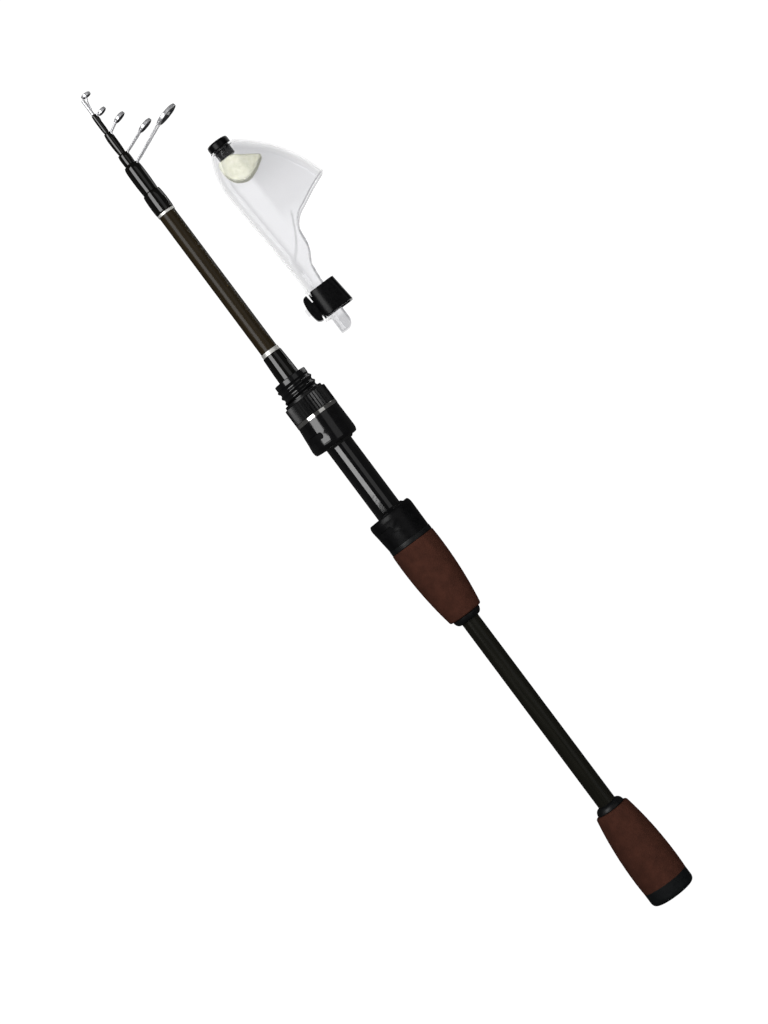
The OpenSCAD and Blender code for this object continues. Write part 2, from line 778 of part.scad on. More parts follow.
// Point on a guide's ring, from its angle off the lowest point
function ring_point(g, angle) =
    let(r = (g[1] - ring_wall) / 2, y = -r * cos(angle))
    [tip_x(g[0]) + g[3] + y * sin(guide_lean), g[2] + y * cos(guide_lean), r * sin(angle)];

// Feet and legs of a guide. Each foot lies on the section's tube, bound in by the collar.
module guide_legs(g) {
    x1 = tip_x(g[0]);
    r = outer_d(g[0], collar_x(g[0])) / 2 + leg_d / 2 + foot_gap_r;
    for (side = [1, -1]) {
        toe = [x1 - collar_nose - foot_run, r * cos(foot_spread), side * r * sin(foot_spread)];
        bend = toe + [foot_run + collar_nose / 2, leg_d / 4, 0];
        wire(toe, bend, leg_d);
        wire(bend, ring_point(g, side * leg_spread), leg_d);
    }
}

// Places a guide's ring, which is drawn about the rod's axis at 0
module at_ring(g) {
    guide_side() translate([tip_x(g[0]) + g[3], g[2], 0]) rotate([0, 0, -guide_lean]) children();
}

// Ring with round edges, given its outer radius, wall and width
module round_ring(r, wall, width) {
    rotate([0, 90, 0]) rotate_extrude() {
        translate([r - wall, -(width - wall) / 2]) square([wall, width - wall]);
        for (end = [-1, 1]) translate([r - wall / 2, end * (width - wall) / 2]) circle(d = wall);
    }
}

module guide_frame(g) {
    color("#b9babc") difference() {
        union() {
            guide_side() guide_legs(g);
            at_ring(g) round_ring(g[1] / 2, ring_wall, ring_width);
        }
        at_ring(g) bar(-lining_width, lining_width, g[1] / 2 - ring_wall);
    }
}

module guide_lining(g) {
    color("#3c3c40") at_ring(g) round_ring(g[1] / 2 - ring_wall, lining_wall, lining_width);
}

module tip_rod() {
    x1 = tip_x(6);
    color("#2a2117") lathe([
        [x_section, 0], [x_section, outer_d(6, x_section) / 2], [x1, tip_rod_d / 2], [x1, 0],
    ]);
}

module tip_tube() {
    x0 = collar_x(6);
    x1 = tip_x(6);
    r = outer_d(6, x0) / 2 + tip_tube_wall;
    color("#c4c5c8") lathe([
        [x0, outer_d(6, x0) / 2], [x0, r], [x1 + tip_tube_wall, r], [x1 + tip_tube_wall, 0],
        [x1, 0], [x1, tip_rod_d / 2],
    ]);
}

module at_tip_ring() {
    guide_side() translate([tip_x(6) + tip_ring_ahead, tip_ring_height, 0]) children();
}

module tip_frame() {
    x1 = tip_x(6);
    r = (tip_ring_d - ring_wall) / 2;
    tube_r = outer_d(6, collar_x(6)) / 2 + tip_tube_wall;
    foot_r = tube_r + knuckle * tip_wire_d / 2 + foot_gap_r;
    color("#c4c5c8") difference() {
        union() {
            at_tip_ring() round_ring(tip_ring_d / 2, ring_wall, ring_width);
            guide_side() {
                translate([0, tip_ring_height - r, 0])
                    bar(x1 + tip_tube_wall, x1 + tip_ring_ahead, tip_wire_d / 2);
                for (side = [1, -1]) {
                    foot = [x1 - brace_length, foot_r * cos(foot_spread), side * foot_r * sin(foot_spread)];
                    wire([x1 + tip_ring_ahead, tip_ring_height, side * r], foot, tip_wire_d);
                }
            }
        }
        at_tip_ring() bar(-lining_width, lining_width, tip_ring_d / 2 - ring_wall);
    }
}

module tip_lining() {
    color("#3c3c40") at_tip_ring() round_ring(tip_ring_d / 2 - ring_wall, lining_wall, lining_width);
}

// Places the cover, which is drawn with its neck along X at 0 and its back towards +Y
module at_cover() {
    translate([cover_x, -cover_offset, cover_z]) rotate([180, 0, 0]) children();
}

// Outline of the chamber, seen from above
module chamber_outline() {
    front_low = [cover_length, front_face_rise - front_face_h / 2];
    front_high = [cover_length, front_face_rise + front_face_h / 2];
    corner = [corner_ahead, corner_rise];
    spine = [corner_ahead + spine_ahead, -neck_h / 2 - spine_drop];
    polygon(concat(
        bow(corner, front_high, back_bulge),
        bow(front_low, spine, spine_bulge),
        [[neck_length + shoulder_low, -neck_h / 2]],
        [[neck_length + shoulder_high, neck_h / 2 + shoulder_rise]]
    ));
}

// Chamber with rounded edges, drawn in by a margin
module chamber(margin) {
    half = chamber_w / 2 - margin;
    edge_r = chamber_edge_r - margin;
    hull() {
        for (a = [0:30:90], side = [-1, 1]) {
            translate([0, 0, side * (half - layer_t / 2 - edge_r * (1 - sin(a)))])
                linear_extrude(layer_t, center = true)
                    offset(delta = -margin - edge_r * (1 - cos(a))) chamber_outline();
        }
        translate([neck_length - margin, 0, 0]) neck_bar(layer_t, neck_r - margin, neck_h / 2);
    }
}

// Bar with a round spine and straight sides, from 0 along the neck
module neck_bar(length, r, top) {
    rotate([90, 0, 90]) linear_extrude(length) neck_outline(r, top);
}

module neck_outline(r, top) {
    translate([neck_axis, 0]) circle(r = r);
    translate([neck_axis, -r]) square([top - neck_axis, 2 * r]);
}

// Everything past the rim of the mouth and of the neck
module mouth_space() {
    far = corner_rise + chamber_w;
    linear_extrude(2 * chamber_w, center = true) offset(r = rim_fillet) offset(delta = -rim_fillet) polygon([
        [corner_ahead, corner_rise], [corner_ahead - rim_back, corner_rise - rim_drop],
        [corner_ahead - shelf_front, neck_h / 2 + shelf_rise],
        [corner_ahead - shelf_end, neck_h / 2 + shelf_rise],
        [neck_length - ramp_foot, neck_h / 2], [-2 * tongue_length, neck_h / 2],
        [-2 * tongue_length, far], [corner_ahead + far - corner_rise, far],
    ]);
}

// What is taken off the neck's back end to leave the tongue
module tongue_trim() {
    start = strap_w / 2 + rib_gap + rib_t;
    translate([-2 * tongue_length, neck_h / 2 - tongue_t - 2 * neck_h, -neck_h])
        cube([2 * tongue_length - start, 2 * neck_h, 2 * neck_h]);
    translate([-tongue_length, neck_h / 2, 0]) linear_extrude(2 * neck_h, center = true) difference() {
        translate([-eps, -tongue_r]) square([tongue_r, tongue_r + eps]);
        translate([tongue_r, -tongue_r]) circle(r = tongue_r);
    }
}

// Bar across the cover at the strap's middle, from the neck outwards
module peg(y0, y1, d) {
    translate([0, y0, 0]) rotate([90, 0, 0]) cylinder(h = y0 - y1, d = d);
}

module cover_shell() {
    peg_end = strap_back - strap_end_t - nut_gap / 2;
    color([0.86, 0.88, 0.9, 0.4]) at_cover() difference() {
        union() {
            chamber(0);
            translate([-tongue_length, 0, 0]) neck_bar(tongue_length + neck_length, neck_r, neck_h / 2);
            for (x = [-strap_w / 2 - rib_gap - rib_t, strap_w / 2 + rib_gap])
                translate([x, 0, 0]) neck_bar(rib_t, neck_r + rib_h, neck_h / 2);
            peg(-neck_h / 2 + cover_wall / 2, peg_end - peg_head_t / 2, peg_d);
            peg(peg_end, peg_end - peg_head_t, peg_d + peg_head_rim);
        }
        chamber(cover_wall);
        translate([-2 * tongue_length, 0, 0]) neck_bar(2 * tongue_length + neck_length, neck_bore_r, neck_h);
        mouth_space();
        tongue_trim();
        translate([0, plug_rise, 0]) bar(cover_length - 2 * cover_wall, cover_length + eps, plug_stem_d / 2);
    }
}

module cover_plug() {
    r = cover_plug_d / 2;
    stem = plug_stem_d / 2;
    color("#121212") at_cover() translate([cover_length, plug_rise, 0]) lathe(concat(
        [[-plug_stem_length, 0], [-plug_stem_length, stem], [0, stem], [0, r]],
        arc([cover_plug_t - plug_edge_r, r - plug_edge_r], plug_edge_r, 90, 0),
        [[cover_plug_t, 0]]
    ));
}

module cover_pad() {
    reach = cover_length - plug_stem_length;
    color("#e4e6d7") at_cover() intersection() {
        translate([reach - pad_behind, front_face_rise + pad_rise, 0]) rotate(pad_turn)
            cube([pad_long, pad_short, pad_t], center = true);
        translate([reach - 2 * pad_long, -pad_long, -pad_t]) cube([2 * pad_long, 3 * pad_long, 2 * pad_t]);
    }
}

// Outline of the strap's loop, round at the spine and with rounded corners at the rim
module loop_outline(r, top, corner) {
    neck_outline(r, top - corner);
    translate([neck_axis, corner - r]) square([top - neck_axis, 2 * (r - corner)]);
    for (side = [-1, 1]) translate([top - corner, side * (r - corner)]) circle(r = corner);
}

// Thick end of the strap, with a bowed back
module strap_end() {
    low = strap_back - strap_end_t;
    linear_extrude(strap_end_w, center = true) polygon(concat(
        [[-strap_w / 2, neck_axis], [strap_w / 2, neck_axis]],
        bow([strap_w / 2, low + strap_end_bow], [-strap_w / 2, low + strap_end_bow], strap_end_bow)
    ));
}

module cover_strap() {
    color("#0d0d0d") at_cover() difference() {
        union() {
            translate([-strap_w / 2, 0, 0]) rotate([90, 0, 90]) linear_extrude(strap_w)
                loop_outline(strap_r, strap_top, strap_corner_r);
            strap_end();
        }
        translate([-strap_w, 0, 0]) rotate([90, 0, 90]) linear_extrude(2 * strap_w)
            loop_outline(strap_r - strap_t, strap_top - strap_t, strap_corner_r - strap_t);
        peg(0, 2 * strap_back, peg_d + nut_gap);
    }
}

main_blank();
butt_insert();
rear_grip();
rear_check();
fore_check();
fore_grip();
trim_ring();
seat_tube();
seat_arbors();
fixed_hood();
thread_sleeve();
sleeve_collar();
front_winding();
front_band();
tip_band();
tip_winding();
butt_cushion();
butt_cap();
butt_plug();
sliding_hood();
hood_liner();
hood_nut();
nut_ring();
for (g = guides) {
    i = g[0];
    color("#2a2117") section_tube(i, x_section);
    collar(i);
    guide_frame(g);
    guide_lining(g);
}
tip_rod();
tip_tube();
tip_frame();
tip_lining();
cover_shell();
cover_plug();
cover_pad();
cover_strap();
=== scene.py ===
import json
import math

import bmesh
import bpy
from mathutils import Matrix, Vector, kdtree, noise


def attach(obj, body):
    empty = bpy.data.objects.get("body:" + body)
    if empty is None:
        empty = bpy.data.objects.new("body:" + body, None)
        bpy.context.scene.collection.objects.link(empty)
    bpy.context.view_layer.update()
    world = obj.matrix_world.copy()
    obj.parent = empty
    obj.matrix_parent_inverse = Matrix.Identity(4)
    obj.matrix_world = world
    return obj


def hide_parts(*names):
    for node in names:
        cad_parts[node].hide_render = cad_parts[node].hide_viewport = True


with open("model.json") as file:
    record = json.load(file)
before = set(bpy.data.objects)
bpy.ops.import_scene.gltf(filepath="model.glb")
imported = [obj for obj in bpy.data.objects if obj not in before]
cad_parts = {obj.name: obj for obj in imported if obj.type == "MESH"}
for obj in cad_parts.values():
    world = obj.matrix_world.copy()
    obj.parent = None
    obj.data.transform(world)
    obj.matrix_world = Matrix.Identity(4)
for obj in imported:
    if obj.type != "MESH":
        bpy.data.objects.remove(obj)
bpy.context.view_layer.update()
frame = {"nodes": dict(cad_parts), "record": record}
MM = 0.001
TAU = 2 * math.pi
X, Z = 0, 2


def extent(node, axis):
    """Where a solid of the frame starts and ends along an axis, in millimetres."""
    values = [v.co[axis] / MM for v in frame["nodes"][node].data.vertices]
    return round(min(values), 2), round(max(values), 2)


# Stations along the rod from the butt face, in millimetres, where solids of the frame start and end
X_CAP, X_REAR_FRONT = extent("rear_grip", X)
X_FORE, X_FORE_FRONT = extent("fore_grip", X)
X_SEAT = extent("trim_ring", X)[1]
X_HOOD_FRONT = extent("sliding_hood", X)[1]
X_NUT_RING, X_NUT = extent("nut_ring", X)
X_NUT_FRONT = extent("hood_nut", X)[1]
X_SLEEVE, X_SLEEVE_COLLAR = extent("thread_sleeve", X)
X_SLEEVE_FRONT = extent("sleeve_collar", X)[1]
X_WINDING_FRONT, X_BAND_FRONT = extent("front_band", X)
X_TIP_BAND, X_TIP_WINDING = extent("tip_band", X)
X_MAIN_TIP = extent("main_blank", X)[1]
X_TIP_TUBE, X_TIP_END = extent("tip_tube", X)

# The rod and the cover lie on the floor
FLOOR_Z, COVER_TOP_Z = extent("cover_shell", Z)


# Shapes: a part is (vertices in millimetres, faces)

def share(value, start, end):
    """How far a value is on the way from start to end, kept between 0 and 1."""
    return min(max((value - start) / (end - start), 0), 1)


def ease(value, start, end):
    """0 up to the start, 1 from the end on, and a smooth rise between."""
    t = share(value, start, end)
    return t * t * (3 - 2 * t)


def arc(centre, radius, degrees):
    """Points on a circle at these angles, counted from the first axis towards the second."""
    angles = [math.radians(d) for d in degrees]
    return [(centre[0] + radius * math.cos(a), centre[1] + radius * math.sin(a)) for a in angles]


def strip(rows, cols, close_rows):
    """Faces of a grid whose columns close into rings."""
    faces = []
    for i in range(rows if close_rows else rows - 1):
        j = (i + 1) % rows
        faces += [(i * cols + k, i * cols + (k + 1) % cols, j * cols + (k + 1) % cols, j * cols + k)
                  for k in range(cols)]
    return faces


def lathe(outline, segments=144, shape=None):
    """Outline of (x, radius) turned round X. It is a closed loop, or starts and ends on the axis."""
    solid = outline[0][1] == 0
    rows = outline[1:-1] if solid else outline
    verts = []
    for x, r in rows:
        for k in range(segments):
            a = TAU * k / segments
            q = shape(x, r, a) if shape else r
            verts.append((x, q * math.cos(a), q * math.sin(a)))
    faces = strip(len(rows), segments, not solid)
    if solid:
        first, base = len(verts), (len(rows) - 1) * segments
        verts += [(outline[0][0], 0, 0), (outline[-1][0], 0, 0)]
        faces += [(first, (k + 1) % segments, k) for k in range(segments)]
        faces += [(first + 1, base + k, base + (k + 1) % segments) for k in range(segments)]
    return verts, faces


def plain_ring(x0, x1, bore_r, outer_r, back_round, front_round, bore_round=0.02):
    """Ring round the rod with rounded edges."""
    corners = [(x0, bore_r), (x0, outer_r, back_round), (x1, outer_r, front_round), (x1, bore_r)]
    return lathe(soften(corners, bore_round))


def merge(*parts):
    """One part made of several."""
    verts, faces = [], []
    for v, f in parts:
        n = len(verts)
        verts += v
        faces += [tuple(i + n for i in face) for face in f]
    return verts, faces


def moved(part, change):
    """The part with change, a function or a matrix in millimetres, applied to its vertices."""
    if isinstance(change, Matrix):
        return [tuple(change @ Vector(v)) for v in part[0]], part[1]
    return [tuple(change(*v)) for v in part[0]], part[1]


def soften(points, radius, steps=6, closed=True):
    """Points with their corners rounded. A point may carry its own radius as a third number."""
    out = []
    n = len(points)
    for i, p in enumerate(points):
        if not closed and i in (0, n - 1):
            out.append((p[0], p[1]))
            continue
        a, b, c = Vector(points[i - 1][:2]), Vector(p[:2]), Vector(points[(i + 1) % n][:2])
        r = p[2] if len(p) > 2 else radius
        cut = min(r, 0.48 * (a - b).length, 0.48 * (c - b).length)
        p0, p2 = b + (a - b).normalized() * cut, b + (c - b).normalized() * cut
        for s in range(steps + 1):
            t = s / steps
            q = p0 * (1 - t) ** 2 + b * 2 * t * (1 - t) + p2 * t * t
            out.append((q.x, q.y))
    return out


def spline(points, per):
    """Points of a smooth curve through the given points, with that many steps between two of them."""
    knots = [Vector(p) for p in points]
    n = len(knots)
    out = []
    for i in range(n - 1):
        p1, p2 = knots[i], knots[i + 1]
        p0 = knots[i - 1] if i > 0 else 2 * p1 - p2
        p3 = knots[i + 2] if i + 2 < n else 2 * p2 - p1
        for s in range(per):
            t = s / per
            out.append(0.5 * (2 * p1 + (p2 - p0) * t + (2 * p0 - 5 * p1 + 4 * p2 - p3) * t * t
                              + (3 * p1 - p0 - 3 * p2 + p3) * t ** 3))
    out.append(knots[-1])
    return out


def flat_spline(points, per):
    """The same for points of two numbers."""
    return [(q.x, q.y) for q in spline([(a, b, 0) for a, b in points], per)]


def loft(rings):
    """Closed rings of equal count joined in order, with a face over each end."""
    cols = len(rings[0])
    verts = [tuple(p) for ring in rings for p in ring]
    faces = strip(len(rings), cols, False)
    faces.append(tuple(range(cols)))
    faces.append(tuple((len(rings) - 1) * cols + k for k in range(cols)))
    return verts, faces


def tube(path, radius, sides):
    """Round wire along a path, with rounded ends."""
    points = [Vector(p) for p in path]
    last = len(points) - 1
    tangents = [(points[min(i + 1, last)] - points[max(i - 1, 0)]).normalized() for i in range(last + 1)]
    side = tangents[0].orthogonal().normalized()
    angles = [TAU * k / sides for k in range(sides)]
    end_angles = [math.pi / 2 * s / 4.3 for s in (1, 2, 3, 4)]
    rings = []

    def add_ring(centre, direction, r):
        up = direction.cross(side).normalized()
        rings.append([centre + (side * math.cos(a) + up * math.sin(a)) * r for a in angles])

    for a in reversed(end_angles):
        add_ring(points[0] - tangents[0] * radius * math.sin(a), tangents[0], radius * math.cos(a))
    for point, tangent in zip(points, tangents):
        side = (side - tangent * side.dot(tangent)).normalized()
        add_ring(point, tangent, radius)
    for a in end_angles:
        add_ring(points[-1] + tangents[-1] * radius * math.sin(a), tangents[-1], radius * math.cos(a))
    return loft(rings)


def prism(outline, z0, z1):
    """Flat outline of (x, y) drawn up from z0 to z1."""
    return loft([[(p[0], p[1], z) for p in outline] for z in (z0, z1)])


def hull(points):
    """Convex part round the points."""
    bm = bmesh.new()
    for p in points:
        bm.verts.new(p)
    result = bmesh.ops.convex_hull(bm, input=bm.verts)
    inner = result["geom_interior"] + result["geom_unused"]
    spare = {item for item in inner if isinstance(item, bmesh.types.BMVert)}
    bmesh.ops.delete(bm, geom=list(spare), context="VERTS")
    bm.verts.ensure_lookup_table()
    bm.verts.index_update()
    part = [tuple(v.co) for v in bm.verts], [tuple(v.index for v in f.verts) for f in bm.faces]
    bm.free()
    return part


# Objects

def link(name, data):
    """New object in the scene."""
    obj = bpy.data.objects.new(name, data)
    bpy.context.collection.objects.link(obj)
    return obj


def smooth(obj, angle):
    """Smooth shading but for edges sharper than the angle in degrees."""
    obj.data.polygons.foreach_set("use_smooth", [True] * len(obj.data.polygons))
    obj.data.set_sharp_from_angle(angle=math.radians(angle))


def make(name, part, angle=35):
    """Object from a part, with smooth shading."""
    mesh = bpy.data.meshes.new(name)
    mesh.from_pydata([tuple(c * MM for c in v) for v in part[0]], [], part[1])
    bm = bmesh.new()
    bm.from_mesh(mesh)
    bmesh.ops.recalc_face_normals(bm, faces=bm.faces)
    bm.to_mesh(mesh)
    bm.free()
    obj = link(name, mesh)
    smooth(obj, angle)
    return obj


def apply_modifiers(obj):
    """Turns what the modifiers show into the object's own mesh."""
    graph = bpy.context.evaluated_depsgraph_get()
    mesh = bpy.data.meshes.new_from_object(obj.evaluated_get(graph))
    obj.modifiers.clear()
    obj.data = mesh


def combine(obj, part, operation):
    """Adds a part to an object (UNION) or takes it away (DIFFERENCE)."""
    tool = make(obj.name + "_tool", part)
    mod = obj.modifiers.new("combine", "BOOLEAN")
    mod.operation = operation
    mod.solver = "EXACT"
    mod.object = tool
    apply_modifiers(obj)
    bpy.data.objects.remove(tool)


def add_remesh(obj, voxel):
    """Modifier that makes the mesh even, with faces of that size in millimetres."""
    mod = obj.modifiers.new("even", "REMESH")
    mod.mode = "VOXEL"
    mod.voxel_size = voxel * MM


def add_smoothing(obj, rounds):
    """Modifier that evens out the form."""
    mod = obj.modifiers.new("soften", "SMOOTH")
    mod.factor = 0.5
    mod.iterations = rounds


def place(obj, body, slot, node, finish=None):
    """Lets the object ride a body in place of a node, in the slot's own finish or another."""
    obj.data.materials.clear()
    obj.data.materials.append(finishes[finish or slot])
    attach(obj, body)
    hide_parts(node)


# Materials

def srgb(r, g, b):
    """Linear colour of 8-bit values."""
    return tuple((c / 255 / 12.92) if c <= 10 else ((c / 255 + 0.055) / 1.055) ** 2.4 for c in (r, g, b))


def new_material(name):
    """Material with its node tree and its shader."""
    material = bpy.data.materials.new(name)
    material.use_nodes = True
    return material, material.node_tree, material.node_tree.nodes["Principled BSDF"]


def feed(socket, value):
    """Links an output to a socket, or sets the socket to a plain value."""
    if isinstance(value, bpy.types.NodeSocket):
        socket.id_data.links.new(value, socket)
    else:
        socket.default_value = value


def adjust(node, **values):
    """Feeds a node's inputs, with underscores for the spaces in their names, and makes its settings."""
    for key, value in values.items():
        name = key.replace("_", " ")
        if name in node.inputs:
            feed(node.inputs[name], value)
        else:
            setattr(node, key, value)


def add_node(tree, kind, **values):
    """Shader node of that kind with these inputs and settings."""
    node = tree.nodes.new("ShaderNode" + kind)
    adjust(node, **values)
    return node


def ramp(tree, source, stops):
    """Colour by a value, from stops of (value, linear colour)."""
    node = add_node(tree, "ValToRGB", Fac=source)
    while len(node.color_ramp.elements) < len(stops):
        node.color_ramp.elements.new(0.5)
    for element, (at, colour) in zip(node.color_ramp.elements, stops):
        element.position = at
        element.color = (*colour, 1)
    return node.outputs["Color"]


def mix_colours(tree, factor, first, second):
    """The first colour at factor 0 and the second at factor 1."""
    node = add_node(tree, "Mix", data_type="RGBA", Factor=factor)
    colours = [socket for socket in node.inputs if socket.type == "RGBA"]
    feed(colours[0], first)
    feed(colours[1], second)
    return [socket for socket in node.outputs if socket.type == "RGBA"][0]


def place_on(tree, stretch=(1, 1, 1)):
    """Place on the object in millimetres, with each axis stretched."""
    coord = add_node(tree, "TexCoord").outputs["Object"]
    return add_node(tree, "Mapping", Vector=coord, Scale=tuple(s / MM for s in stretch)).outputs["Vector"]


def noise_at(tree, scale, detail=4, stretch=(1, 1, 1)):
    """Noise with about scale grains in a millimetre."""
    at = place_on(tree, stretch)
    return add_node(tree, "TexNoise", Vector=at, Scale=scale, Detail=detail, Roughness=0.55).outputs["Fac"]


def axis_parts(tree, vector):
    """The outputs X, Y and Z of a vector."""
    return add_node(tree, "SeparateXYZ", Vector=vector).outputs


def to_range(tree, source, low, high, start=0.3, end=0.7):
    """Value that goes from low to high as the source goes from start to end."""
    node = add_node(tree, "MapRange", Value=source, From_Min=start, From_Max=end, To_Min=low, To_Max=high)
    return node.outputs["Result"]


def calc(tree, operation, *values):
    """Arithmetic on outputs and numbers."""
    node = add_node(tree, "Math", operation=operation)
    for socket, value in zip(node.inputs, values):
        feed(socket, value)
    return node.outputs[0]


def add_bump(tree, relief, height, before=None):
    """Bump of that height in millimetres, on top of the one before."""
    node = add_node(tree, "Bump", Height=relief, Strength=1.0, Distance=height * MM)
    if before:
        adjust(node, Normal=before)
    return node.outputs["Normal"]


def surface(name, dark, light, grain, rough, bump=None, fine=None, stretch=(1, 1, 1), **shader):
    """Mottled material: two 8-bit colours and two roughnesses by a noise of that grain.

    Up to two bumps are pairs of grain and height.
    """
    material, tree, bsdf = new_material(name)
    tone = noise_at(tree, grain, stretch=stretch)
    colour = ramp(tree, tone, [(0.32, srgb(*dark)), (0.68, srgb(*light))])
    adjust(bsdf, Base_Color=colour, Roughness=to_range(tree, tone, *rough), **shader)
    normal = None
    for relief in (bump, fine):
        if relief:
            normal = add_bump(tree, noise_at(tree, relief[0], 3, stretch), relief[1], normal)
    if normal:
        adjust(bsdf, Normal=normal)
    return material


BLACK, SOFT_BLACK = (5, 5, 6), (11, 11, 12)

finishes = {
    "eva": surface("eva_foam", (57, 32, 24), (68, 39, 30), 0.2, (0.86, 0.96), (1.6, 0.05), (6.0, 0.03),
                   Specular_IOR_Level=0.08),
    "butt_cap": surface("butt_rubber", (12, 14, 15), (18, 20, 21), 0.5, (0.55, 0.65), (3.0, 0.02),
                        Specular_IOR_Level=0.12),
    "trim": surface("trim_rubber", (8, 9, 10), (15, 16, 17), 0.4, (0.34, 0.46), (3.0, 0.012),
                    Specular_IOR_Level=0.25),
    "seat_tube": surface("seat_lacquer", (4, 4, 5), (10, 10, 11), 0.35, (0.05, 0.1), (0.22, 0.035),
                         stretch=(0.7, 1, 1), Coat_Weight=0.3, Coat_Roughness=0.03),
    "hood": surface("hood_plastic", BLACK, SOFT_BLACK, 0.3, (0.1, 0.16), (0.12, 0.02)),
    "satin_hood": surface("satin_hood_plastic", BLACK, SOFT_BLACK, 0.3, (0.3, 0.4), (0.12, 0.02),
                          Specular_IOR_Level=0.15),
    "slot_floor": surface("slot_floor", (7, 7, 8), (13, 13, 14), 0.6, (0.6, 0.75), (1.5, 0.02),
                          Specular_IOR_Level=0.08),
    "liner": surface("liner_plastic", (14, 14, 14), (24, 24, 24), 0.5, (0.4, 0.55), (2.0, 0.01)),
    "nut": surface("nut_plastic", (6, 6, 7), (13, 13, 14), 0.4, (0.14, 0.2), (0.3, 0.01)),
    "nut_ribs": surface("nut_moulding", (8, 8, 9), (15, 15, 16), 0.6, (0.3, 0.38), (1.2, 0.012),
                        Specular_IOR_Level=0.3),
    "bright_ring": surface("chrome_ring", (205, 203, 198), (236, 235, 232), 0.5, (0.05, 0.1), Metallic=1.0),
    "band": surface("silver_band", (206, 205, 200), (232, 231, 227), 0.8, (0.36, 0.46), Metallic=0.6),
    "wire": surface("polished_wire", (196, 196, 199), (222, 222, 225), 1.2, (0.16, 0.24), Metallic=0.6),
    "lining": surface("ceramic_lining", (30, 31, 33), (48, 49, 52), 1.5, (0.08, 0.14), (3.0, 0.004)),
    "cover_rubber": surface("cover_rubber", (4, 4, 5), (9, 9, 10), 0.5, (0.24, 0.32), (2.4, 0.008),
                            Specular_IOR_Level=0.13),
    "foam": surface("cream_foam", (186, 186, 168), (201, 201, 186), 0.5, (0.88, 0.98), (1.1, 0.18),
                    (4.0, 0.08), Specular_IOR_Level=0.2, Subsurface_Weight=0.15,
                    Subsurface_Radius=(0.003, 0.003, 0.002)),
    "inner_plastic": surface("inner_plastic", (22, 22, 22), (34, 34, 34), 0.5, (0.4, 0.5), (2.0, 0.01)),
    "arbor": surface("arbor_tape", (150, 132, 98), (178, 160, 124), 0.6, (0.7, 0.85), (1.5, 0.05)),
    "cushion": surface("cushion_rubber", (40, 40, 40), (56, 56, 56), 0.6, (0.7, 0.85), (1.5, 0.05)),
}


def blank_material():
    """Satin lacquer over drawn-out fibres: near-black on the handle and brown in front of the reel seat."""
    black_end, brown_start = 0.30, 0.31
    material, tree, bsdf = new_material("blank_lacquer")
    tone = noise_at(tree, 0.9, detail=5, stretch=(0.04, 1, 1))
    brown = ramp(tree, tone, [(0.3, srgb(31, 25, 15)), (0.7, srgb(43, 35, 22))])
    black = ramp(tree, tone, [(0.3, srgb(17, 17, 13)), (0.7, srgb(25, 24, 19))])
    at = axis_parts(tree, add_node(tree, "TexCoord").outputs["Object"])
    front = to_range(tree, at["X"], 0, 1, black_end, brown_start)
    adjust(bsdf, Base_Color=mix_colours(tree, front, black, brown), Roughness=to_range(tree, tone, 0.2, 0.27),
           Normal=add_bump(tree, tone, 0.004), Specular_IOR_Level=0.15)
    return material


def winding_material():
    """Thread wound round the blank under thick clear lacquer."""
    material, tree, bsdf = new_material("lacquered_winding")
    colour = ramp(tree, noise_at(tree, 0.25), [(0.3, srgb(6, 6, 5)), (0.7, srgb(12, 11, 9))])
    wave = add_node(tree, "TexWave", Vector=place_on(tree), Scale=0.7, Distortion=0.4, Detail=1.0,
                    bands_direction="X")
    threads = wave.outputs["Fac"]
    lacquer = add_bump(tree, noise_at(tree, 0.15, detail=2), 0.03)
    adjust(bsdf, Base_Color=colour, Roughness=to_range(tree, threads, 0.3, 0.42, 0, 1),
           Normal=add_bump(tree, threads, 0.02), Specular_IOR_Level=0.0,
           Coat_Normal=lacquer, Coat_Weight=1.0, Coat_Roughness=0.04)
    return material


def clear_material():
    """Clear moulded plastic with faint flow marks. Its own colour has painted shade on top: greyest on
    slanting faces and where the painted shade written on its points says so.
    """
    # Grey that the painted shade mixes in
    grey = (0.55, 0.55, 0.56, 1)
    # Colour of the plastic on flat faces, with painted shade that greys the slanting faces
    slants = [(0.0, (0.98, 0.98, 0.98)), (0.25, (0.91, 0.91, 0.91)), (0.6, (0.85, 0.85, 0.855)),
              (0.93, (0.862, 0.862, 0.87)), (1.0, (0.885, 0.885, 0.895))]
    material, tree, bsdf = new_material("clear_plastic")
    flow = noise_at(tree, 0.06, detail=2)
    normal = axis_parts(tree, add_node(tree, "NewGeometry").outputs["Normal"])
    own_colour_and_slant_shade = ramp(tree, calc(tree, "ABSOLUTE", normal["Z"]), slants)
    # Painted shade written on the moulding's points mixes in more grey
    painted_shade = add_node(tree, "Attribute", attribute_name="painted_shade").outputs["Fac"]
    adjust(bsdf, Base_Color=mix_colours(tree, painted_shade, own_colour_and_slant_shade, grey),
           Roughness=to_range(tree, flow, 0.01, 0.035), Normal=add_bump(tree, flow, 0.06),
           Transmission_Weight=1.0, IOR=1.05, Coat_Weight=0.35, Coat_Roughness=0.02, Coat_IOR=1.5)
    return material


finishes["blank"] = blank_material()
finishes["winding"] = winding_material()
finishes["clear"] = clear_material()

# Nodes whose solids show as they are take the finish of their slot
for row in frame["record"]["subparts"]:
    node_mesh = frame["nodes"][row["node"]].data
    node_mesh.materials.clear()
    node_mesh.materials.append(finishes[row["material_slot"]])


